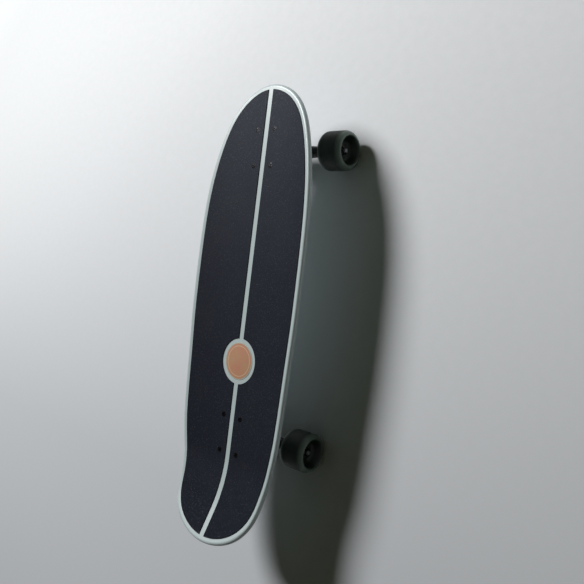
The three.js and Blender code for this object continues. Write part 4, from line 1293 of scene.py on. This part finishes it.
def hanger():
    along_x = Matrix.Rotation(math.pi / 2, 4, "Y")
    beam = turned("beam", [
        (0, -HANGER_HALF), (HANGER_END, -HANGER_HALF), (HANGER_END, -70), (HANGER_MIDDLE, -20),
        (HANGER_MIDDLE, 20), (HANGER_END, 70), (HANGER_END, HANGER_HALF), (0, HANGER_HALF)], ease=0.0)
    reach = math.hypot(RING_CENTRE.y, RING_CENTRE.z) - PLAY
    wings = extruded("wings", [
        (-52, -4.25), (52, -4.25), (52, 4.25), (RING_RADIUS, reach), (-RING_RADIUS, reach),
        (-52, 4.25)], -4.5, 4.5, Matrix.Rotation(LIFT, 4, "X"))
    neck = sideways("neck", [
        on_steering(MOUTH + 0.6, -3), on_steering(14, PLAY), (3, 20), (6, 7), (6, -6), (-6, -6),
        (-12, PLAY)], 14)
    stem = turned("stem", [
        (0, -STEM_RADIUS), (3.4, -5), (5.3, -2.9), (STEM_RADIUS, 0), (STEM_RADIUS, 14), (0, 14)], ease=1.0)
    eye = moved(rod("eye", RING_RADIUS, -RING_THICKNESS / 2, RING_THICKNESS / 2), along_kingpin)
    reliefs = [moved(rod("relief", BUSHING_RADIUS + 1.5, low, high), along_kingpin)
               for low, high in ((-30, -RING_THICKNESS / 2), (RING_THICKNESS / 2, 40))]
    body = cast("hanger", [moved(beam, along_x), eye, wings, neck, moved(stem, along_steering)], reliefs)
    trims = []
    for side in (-1, 1):
        inner, outer, start = HANGER_END - 1.4, 12, side * HANGER_HALF
        trims.append(moved(turned("trim", [
            (inner, start), (outer, start), (outer, start + side * 3), (inner, start + side * 3)],
            ease=0.0), along_x))
    return machined(body, moved(rod("ring_hole", 7.5, -9, 9), along_kingpin),
                    moved(rod("axle_bore", 4.15, -90, 90, faces=48), along_x), *trims)


for end in ("front", "rear"):
    piece = hanger()
    settle(piece, f"{end}_hanger_casting", home[f"{end}_hanger"], "truck_casting", on_truck[end],
           f"{end}_hanger")
print("hanger", len(piece.data.polygons), "faces")

# %% [markdown]
# Kingpin.
# A long bolt through the boss holds the hanger's ring between two bushings.
# It is turned from one outline, with its thread as a row of ridges.
# A real thread winds round as a helix, but ridges look the same at this size, and they close without a seam.

# %% Kingpin
WASHER_STEEL = 1.6
KINGPIN_HEAD_HEIGHT = 6.0
KINGPIN_THREAD = 15.0
KINGPIN_TAIL = 2.5
KINGPIN_NUT_FROM = RING_THICKNESS / 2 + PLAY + LOWER_BUSHING + WASHER_STEEL + PLAY
KINGPIN_NUT_ACROSS = 14.0
KINGPIN_NUT = 8.0
FINE_PITCH = 1.06
THREAD_EASE = 0.08
THREAD_INSET = 0.6


def kingpin():
    head = -SEAT_ABOVE - KINGPIN_SEAT - PLAY
    head_end = head - KINGPIN_HEAD_HEIGHT
    tip = KINGPIN_NUT_FROM + KINGPIN_NUT + KINGPIN_TAIL
    start = tip - KINGPIN_THREAD
    return turned("kingpin", [
        (0, head_end), (KINGPIN_HEAD, head_end), (KINGPIN_HEAD, head), (KINGPIN_RADIUS, head),
        (KINGPIN_RADIUS, start), *threaded(KINGPIN_RADIUS, start + THREAD_INSET, tip - THREAD_INSET,
                                           THREAD_EASE, FINE_PITCH, 0.4),
        (KINGPIN_RADIUS - 0.9, tip), (0, tip)], faces=48, material=zinc_steel, ease=0.3)


print("kingpin nut", round(KINGPIN_NUT_FROM, 2), "mm from the ring's middle")

# %% [markdown]
# Bushings and pivot cup.
# These are turned about the truck's two lines. The bushings are soft and bulge a little under load.
# One end of a bushing sits on the truck's seat and the other meets the hanger's ring. A real bushing bends as
# the truck leans, and its bore opens towards the ring to leave the kingpin room.
# A cup washer holds the lower bushing's tip, and the lock nut sets how easily the truck leans.

# %% Steering parts
WASHER_RISE = 1.4
KINGPIN_BORE = KINGPIN_RADIUS + PLAY
BORE_AT_RING = 6.4


def barrel_bushing(low, high):
    middle = (low + high) / 2
    return turned("upper", [
        (KINGPIN_BORE, low), (11.5, low, 1.2), (12.1, low + 3, 2), (BUSHING_RADIUS, middle, 4),
        (12.1, high - 3, 2), (11.5, high, 1.2), (BORE_AT_RING, high), (BORE_AT_RING, middle)],
        faces=72, material=bushing_urethane, ease=0.4)


def cone_bushing(low, high):
    return turned("lower", [
        (BORE_AT_RING, low), (11.9, low, 1.2), (11.2, low + 4.5, 2), (9.6, high, 1.0), (KINGPIN_BORE, high),
        (BORE_AT_RING, (low + high) / 2)], faces=72, material=bushing_urethane, ease=0.4)


def cup_washer(seat):
    return turned("washer", [
        (5.0, seat), (9.8, seat), (10.1, seat - WASHER_RISE), (10.9, seat - WASHER_RISE),
        (10.8, seat + WASHER_RISE), (5.0, seat + WASHER_RISE)],
        faces=64, material=zinc_steel, ease=0.35)


def pivot_cup():
    bore = STEM_RADIUS + PLAY
    return turned("cup", [
        (0, -CUP_DEPTH), (CUP_RADIUS, -CUP_DEPTH), (CUP_RADIUS, MOUTH), (bore, MOUTH), (bore, -0.5, 2),
        (4.6, -4.2, 2), (0, -6.3)], faces=64, material=riser_rubber, ease=0.5)


for end in ("front", "rear"):
    body, hanger_body = home[f"{end}_kingpin"], home[f"{end}_hanger"]
    in_truck = on_truck[end] @ along_kingpin
    settle(kingpin(), f"{end}_kingpin_bolt", body, "truck_steel", in_truck, f"{end}_kingpin")
    nut, ring = lock_nut(KINGPIN_NUT_ACROSS, KINGPIN_NUT, KINGPIN_RADIUS + 0.15, zinc_steel)
    at_nut = in_truck @ lifted(KINGPIN_NUT_FROM)
    settle(nut, f"{end}_kingpin_lock_nut", body, "truck_steel", at_nut, f"{end}_kingpin_nut")
    settle(ring, f"{end}_kingpin_nut_ring", body, "truck_steel", at_nut)
    low, high = -SEAT_ABOVE + PLAY, -RING_THICKNESS / 2 - PLAY
    settle(barrel_bushing(low, high), f"{end}_barrel_bushing", body, "bushing", in_truck,
           f"{end}_upper_bushing", bends=(hanger_body, low, high))
    low, high = RING_THICKNESS / 2 + PLAY, RING_THICKNESS / 2 + PLAY + LOWER_BUSHING
    settle(cone_bushing(low, high), f"{end}_cone_bushing", body, "bushing", in_truck,
           f"{end}_lower_bushing", bends=(hanger_body, high, low))
    settle(cup_washer(high + 0.1), f"{end}_cup_washer", body, "truck_steel", in_truck)
    settle(pivot_cup(), f"{end}_pivot_bush", home[f"{end}_pivot_cup"], "pivot_cup",
           on_truck[end] @ along_steering, f"{end}_pivot_cup")
print("steering parts on", sorted({home["front_kingpin"], home["rear_kingpin"]}))

# %% [markdown]
# Return spring.
# The spring pulls the arm back to the middle. It is one round wire: a leg, two and a half curls, another leg.
# One leg is held in the plate and one in the arm; on a real truck the curls wind up as the arm swings.
# A tree sweeps a round section along the wire's points, so the wire's thickness is a named input.

# %% Return spring
CURL_STEPS = 40
BEND_STEPS = 8

wire_tree, takes, gives = geometry_tree("bent_wire", [
    ("Path", "Geometry", None), ("Wire Radius", "Float", SPRING_WIRE / 2), ("Sides", "Int", 20)])
path = put(wire_tree, "GeometryNodeMeshToCurve", {"Mesh": takes["Path"]}).outputs["Curve"]
section = put(wire_tree, "GeometryNodeCurvePrimitiveCircle", {
    "Resolution": takes["Sides"], "Radius": takes["Wire Radius"]}).outputs["Curve"]
swept = put(wire_tree, "GeometryNodeCurveToMesh", {
    "Curve": path, "Profile Curve": section, "Fill Caps": True})
hand_out(wire_tree, takes, gives, swept.outputs["Mesh"])


def on_curl(turn):
    """A point of the curls, a turn in radians after their lower end."""
    return Vector((SPRING_RADIUS * math.cos(turn), SPRING_RADIUS * math.sin(turn),
                   spring_foot + turn / math.tau * SPRING_PITCH))


def spring_leg(end):
    """The wire's bend out of its last curl and its straight leg: above with 1, below with -1."""
    turn = 0 if end < 0 else SPRING_CURLS * math.tau
    onward = Vector((-math.sin(turn), math.cos(turn), 0)) * end
    points = []
    for i in range(1, BEND_STEPS + 1):
        bend = math.pi / 2 * i / BEND_STEPS
        points.append(on_curl(turn) + onward * SPRING_BEND * math.sin(bend)
                      + Vector((0, 0, end * SPRING_BEND * (1 - math.cos(bend)))))
    return points + [points[-1] + Vector((0, 0, end * SPRING_LEG))]


curls = [on_curl(math.tau * i / CURL_STEPS) for i in range(int(SPRING_CURLS * CURL_STEPS) + 1)]
wire_points = [*reversed(spring_leg(-1)), *curls, *spring_leg(1)]
wire = bpy.data.meshes.new("wire_path")
wire.from_pydata(wire_points, [(i, i + 1) for i in range(len(wire_points) - 1)], [])
spring = grown(new_object("wire_path", wire), wire_tree, Material=bright_steel)
in_swing = on_truck["front"] @ along_swing
settle(spring, "return_spring", home["swing_spring"], "truck_steel", in_swing, "swing_spring",
       bends=(home["swing_arm"], spring_head, spring_foot))
print("spring", len(wire_points), "points along its wire")

# %% [markdown]
# Swing bolt and thrust bearing.
# The arm hangs on one thick bolt, and a flat bearing between arm and hub takes the load.
# The bolt goes in from above, so its lock nut is turned upside down and sits in the arm's spot face.

# %% Swing bolt and bearing
SWING_THREAD = 11.0
SWING_PITCH = 1.25
SWING_TAIL = 2.0

head = head_seat + PLAY
tip = -EYE_THICKNESS - PLAY - SWING_NUT - SWING_TAIL
thread_end = tip + SWING_THREAD
swing_bolt = turned("swing_bolt", [
    (0, tip), (SWING_BOLT_RADIUS - 0.9, tip),
    *threaded(SWING_BOLT_RADIUS, tip + THREAD_INSET, thread_end, THREAD_EASE, SWING_PITCH, 0.45),
    (SWING_BOLT_RADIUS, thread_end + 1), (SWING_BOLT_RADIUS, head), (SWING_HEAD_RADIUS, head),
    (SWING_HEAD_RADIUS, head + SWING_HEAD_HEIGHT), (0, head + SWING_HEAD_HEIGHT)],
    faces=48, material=zinc_steel, ease=0.35)
settle(swing_bolt, "swing_arm_bolt", home["swing_bolt"], "truck_steel", in_swing, "swing_bolt")
nut, ring = lock_nut(SWING_NUT_ACROSS, SWING_NUT, SWING_BOLT_RADIUS + 0.15, zinc_steel)
hung = in_swing @ lifted(-EYE_THICKNESS - PLAY) @ UPSIDE_DOWN
settle(nut, "swing_arm_lock_nut", home["swing_nut"], "truck_steel", hung, "swing_nut")
settle(ring, "swing_arm_nut_ring", home["swing_nut"], "truck_steel", hung)
race_top = PLAY + SWING_BEARING
thrust = turned("thrust", [
    (5.2, PLAY), (HUB_RADIUS, PLAY), (HUB_RADIUS, PLAY + 1.3), (12.4, PLAY + 1.5, 0.1),
    (12.4, race_top - 1.5, 0.1), (HUB_RADIUS, race_top - 1.3), (HUB_RADIUS, race_top), (5.2, race_top)],
    faces=72, material=bright_steel, ease=0.2)
settle(thrust, "swing_thrust_bearing", home["swing_bearing"], "truck_steel", in_swing, "swing_bearing")
print("swing bolt", round(head - tip, 1), "mm under its head")

# %% [markdown]
# Axles, speed washers and axle nuts.
# A steel axle runs through the hanger, threaded at both ends.
# A thin speed washer stands on each side of each wheel's bearings, so the nut doesn't rub on the shields.

# %% Axle parts
BEARING_FROM = HANGER_HALF + 1.2
BEARING_WIDTH = 7.0
BEARING_SPACING = 10.0
BEARING_RADIUS = 11.0
OUTER_BEARING_FROM = BEARING_FROM + BEARING_WIDTH + BEARING_SPACING
AXLE_NUT_FROM = OUTER_BEARING_FROM + BEARING_WIDTH + 1.2
AXLE_NUT_ACROSS = 13.0
AXLE_NUT = 6.0
AXLE_TAIL = 2.6
AXLE_HALF = AXLE_NUT_FROM + AXLE_NUT + AXLE_TAIL
AXLE_RADIUS = 4.0
AXLE_BORE = AXLE_RADIUS + 0.1
WASHER_THICKNESS = 1.0
outwards = {1: aimed((0, 0, 0), (1, 0, 0)), -1: aimed((0, 0, 0), (-1, 0, 0))}


def axle_rod():
    """One half's outline, and the same mirrored, as both ends are threaded."""
    half = [(AXLE_RADIUS, AXLE_NUT_FROM - 2.6),
            *threaded(AXLE_RADIUS, AXLE_NUT_FROM - 2, AXLE_HALF - THREAD_INSET,
                      THREAD_EASE, FINE_PITCH, 0.35),
            (AXLE_RADIUS - 0.8, AXLE_HALF), (0, AXLE_HALF)]
    mirrored = [(r, -z, *rest) for r, z, *rest in reversed(half)]
    return turned("axle", [*mirrored, *half], faces=40, material=zinc_steel, ease=0.3)


for end in ("front", "rear"):
    body = home[f"{end}_axle"]
    settle(axle_rod(), f"{end}_axle_rod", body, "truck_steel", on_truck[end] @ outwards[1], f"{end}_axle")
    washers, nuts, rings = [], [], []
    for facing in outwards.values():
        for start in (HANGER_HALF + 0.1, OUTER_BEARING_FROM + BEARING_WIDTH + 0.1):
            washer = collar("washer", AXLE_BORE, 6.3, start, start + WASHER_THICKNESS,
                            40, 0.15, bright_steel)
            washers.append(moved(washer, facing))
        nut, ring = lock_nut(AXLE_NUT_ACROSS, AXLE_NUT, AXLE_BORE, black_oxide)
        nuts.append(moved(nut, facing @ lifted(AXLE_NUT_FROM)))
        rings.append(moved(ring, facing @ lifted(AXLE_NUT_FROM)))
    settle(merged("washers", *washers), f"{end}_speed_washers", body, "truck_steel", on_truck[end])
    settle(merged("nuts", *nuts), f"{end}_axle_lock_nuts", body, "truck_steel", on_truck[end],
           f"{end}_left_axle_nut", f"{end}_right_axle_nut")
    settle(merged("rings", *rings), f"{end}_axle_nut_rings", body, "truck_steel", on_truck[end])
print("axle half length", AXLE_HALF, "mm")

# %% [markdown]
# Wheels and bearings.
# A wheel is one casting of smoky green urethane: a wide tread, round lips, and a deep recess outside.
# It is the clearest case for the lathe tree. The same tree makes the bearings' rings and rubber shields.
# Urethane is glossy where it was moulded, and a little scuffed on the tread, so its wear follows the radius.
# Light seeps through the thin lips, so they are painted paler than the thick middle.

# %% Urethane
WHEEL_RADIUS = 34.7
WHEEL_WIDTH = 51.0
WHEEL_INSET = 8.5
LIP_ALONG = (14.5 * MM, 21.5 * MM)
LIP_AROUND = (24.0 * MM, 27.5 * MM)
TREAD_AROUND = ((WHEEL_RADIUS - 1.2) * MM, (WHEEL_RADIUS - 0.2) * MM)


def wheel_urethane(end, side):
    """Each wheel has its own copy, because its scuffs follow the distance from its own axle line."""
    material, tree, shader, place = bare_material(f"smoky_urethane_{end}_{side}")
    middle = middle_of(f"{end}_{side}_wheel")
    spot = put(tree, "ShaderNodeSeparateXYZ", {"Vector": place}).outputs
    out_x, out_y, out_z = (Amount(tree, spot[axis]) - middle[i] for i, axis in enumerate("XYZ"))
    from_axle = (out_y * out_y + out_z * out_z).work("SQRT")
    cloudy = effect(tree, fine_grain, Place=place, Scale=90.0)
    body = mixed(tree, cloudy["Grain"], chip(27, 41, 32), chip(22, 35, 27))
    thin = ramp(tree, out_x.work("ABSOLUTE"), *LIP_ALONG) * ramp(tree, from_axle, *LIP_AROUND)
    body = mixed(tree, thin * 0.9, body, chip(106, 124, 114))
    tread = ramp(tree, from_axle, *TREAD_AROUND)
    scuffed = tread * ramp(tree, noise(tree, place, 240.0, 6.0, Roughness=0.7), 0.45, 0.62)
    body = mixed(tree, scuffed * 0.3, body, chip(70, 77, 71))
    dusted(tree, shader, place, body, 30.0, 0.18, chip(110, 110, 102))
    gloss = eased(tree, cloudy["Grain"], 0.3, 0.38) + scuffed * 0.2 + tread * 0.2
    feed(tree, gloss, shader.inputs["Roughness"])
    bumped(tree, shader, cloudy["Height"], 0.00003)
    return material


# %% Wheels and their bearings
LIP_STEPS = 12
lip = [(WHEEL_RADIUS - 8 * (1 - math.sin(t)), 10 * (1 - math.cos(t)), 0.2)
       for t in (math.pi / 2 * i / LIP_STEPS for i in range(LIP_STEPS + 1))]
SEAT, SHOULDER = BEARING_RADIUS + 0.05, 9.0
INNER_HUB = WHEEL_INSET - 0.1
OUTER_HUB = WHEEL_INSET + 2 * BEARING_WIDTH + BEARING_SPACING + 0.1
wheel_outline = [
    (SEAT, INNER_HUB), (15.4, INNER_HUB), (16.8, INNER_HUB - 0.8), (25.6, 0.9, 0.8), *lip,
    *((r, WHEEL_WIDTH - z, e) for r, z, e in reversed(lip)), (25.6, WHEEL_WIDTH - 0.9, 1.4),
    (19.6, OUTER_HUB + 3.4, 2.4), (16.0, OUTER_HUB, 0.8), (SEAT, OUTER_HUB),
    (SEAT, OUTER_HUB - BEARING_WIDTH), (SHOULDER, OUTER_HUB - BEARING_WIDTH),
    (SHOULDER, INNER_HUB + BEARING_WIDTH), (SEAT, INNER_HUB + BEARING_WIDTH)]
ring_face = [(4.05, 0), (6.0, 0), (6.3, 0.5, 0.1), (8.9, 0.5, 0.1), (9.2, 0), (BEARING_RADIUS, 0)]
ring_outline = [*ring_face, *((r, BEARING_WIDTH - z, *ease) for r, z, *ease in reversed(ring_face))]

for end in ("front", "rear"):
    for side, sign in (("left", -1), ("right", 1)):
        body = f"{end}_{side}"
        facing = outwards[sign if end == "rear" else -sign]
        wheel = turned("wheel", wheel_outline, faces=128, material=wheel_urethane(end, side), ease=0.5)
        moved(wheel, facing @ lifted(BEARING_FROM - WHEEL_INSET))
        settle(wheel, f"{body}_urethane_wheel", body, "wheel", on_truck[end], f"{body}_wheel")
        rings, shields = [], []
        for start in (BEARING_FROM, OUTER_BEARING_FROM):
            at_bearing = facing @ lifted(start)
            ring = turned("ring", ring_outline, faces=64, material=bearing_steel, ease=0.2)
            rings.append(moved(ring, at_bearing))
            for low in (0.12, BEARING_WIDTH - 0.6):
                shield = collar("shield", 6.35, 8.85, low, low + 0.48, 64, 0.12, shield_rubber)
                shields.append(moved(shield, at_bearing))
        spacer = collar("spacer", AXLE_BORE, 5.4, BEARING_FROM + BEARING_WIDTH, OUTER_BEARING_FROM,
                        32, 0.2, bright_steel)
        settle(merged("rings", *rings), f"{body}_bearing_rings", body, "bearing", on_truck[end],
               f"{body}_inner_bearing", f"{body}_outer_bearing")
        settle(merged("shields", *shields), f"{body}_bearing_shields", body, "bearing", on_truck[end])
        settle(moved(spacer, facing), f"{body}_bearing_spacer", body, "bearing", on_truck[end])
print("wheel", len(wheel.data.polygons), "faces")

# %% [markdown]
# Floor and backdrop.
# A pale floor takes the board's shadow. Its colour also carries painted light: paler towards the nose, and a
# little greyer far out towards the lamp.
# The world is pale where the camera or a glossy surface looks at it, and only a faint light elsewhere.
# Far from the board the floor runs out into that backdrop, as a roll of studio paper does.

# %% Floor
FLOOR_END = 4.0
FADE_FROM, FADE_TO = 1.6, 3.0


def backdrop(tree):
    """The backdrop's colour and strength, for the world and for the far end of the floor."""
    seen = put(tree, "ShaderNodeLightPath").outputs
    camera_part, gloss_part = Amount(tree, seen["Is Camera Ray"]), Amount(tree, seen["Is Glossy Ray"])
    colour = mixed(tree, (camera_part + gloss_part).at_most(1.0), (0.95, 1.0, 0.66, 1), (1, 1, 1, 1))
    return {"Color": colour, "Strength": camera_part * 0.675 + gloss_part * 0.1 + 0.035}


corners = [(x * FLOOR_END, y * FLOOR_END, 0) for x, y in ((-1, -1), (1, -1), (1, 1), (-1, 1))]
floor = from_faces("floor", corners, [(0, 1, 2, 3)])
floor_material, tree, shader, place = bare_material("pale_floor")
spot = put(tree, "ShaderNodeSeparateXYZ", {"Vector": place}).outputs
across, along = Amount(tree, spot["X"]), Amount(tree, spot["Y"])
# Painted light and shade: the paper is painted paler towards the nose, and greyer far out towards the lamp.
paper_with_painted_light = mixed(tree, ramp(tree, along, -0.4, 0.65), chip(208, 211, 216), chip(244, 246, 249))
paper_with_painted_light = mixed(tree, ramp(tree, along - across, 1.0, 2.0), paper_with_painted_light, chip(222, 224, 226))
fleck = Amount(tree, effect(tree, fine_grain, Place=place, Scale=60.0)["Grain"])
feed(tree, mixed(tree, fleck * 0.1, paper_with_painted_light, chip(206, 209, 209)), shader.inputs["Base Color"])
shader.inputs["Roughness"].default_value = 0.9
shader.inputs["Specular IOR Level"].default_value = 0.1
from_board = put(tree, "ShaderNodeVectorMath", {0: place}, operation="LENGTH").outputs["Value"]
paper_end = put(tree, "ShaderNodeEmission", backdrop(tree)).outputs["Emission"]
whole = put(tree, "ShaderNodeMixShader", {
    0: ramp(tree, from_board, FADE_FROM, FADE_TO), 1: shader.outputs["BSDF"], 2: paper_end})
feed(tree, whole.outputs["Shader"], tree.nodes["Material Output"].inputs["Surface"])
floor.data.materials.append(floor_material)
print("floor", 2 * FLOOR_END, "m wide")

# %% [markdown]
# Light.
# The photograph's soft light comes from the upper left and falls off towards the tail.
# One large round lamp stands there, and the world fills the shadows a little.

# %% Lamp and world
LAMP_PLACE = Vector((-2.1, 1.98, 2.83))
LAMP_AIM = Vector((0, 0, 0.1))
LAMP_SIZE = 1.43
LAMP_ENERGY = 162

lamp = bpy.data.lights.new("key_lamp", "AREA")
lamp.shape = "DISK"
lamp.size, lamp.energy = LAMP_SIZE, LAMP_ENERGY
key = bpy.data.objects.new("key_lamp", lamp)
bpy.context.scene.collection.objects.link(key)
turned_to_board = (LAMP_PLACE - LAMP_AIM).to_track_quat("Z", "Y").to_matrix().to_4x4()
key.matrix_world = Matrix.Translation(LAMP_PLACE) @ turned_to_board

world = bpy.data.worlds.new("studio")
bpy.context.scene.world = world
world.use_nodes = True
for name, value in backdrop(world.node_tree).items():
    feed(world.node_tree, value, world.node_tree.nodes["Background"].inputs[name])
bpy.context.scene.view_settings.view_transform = "Standard"
print("lamp", round((LAMP_PLACE - LAMP_AIM).length, 2), "m from the board")
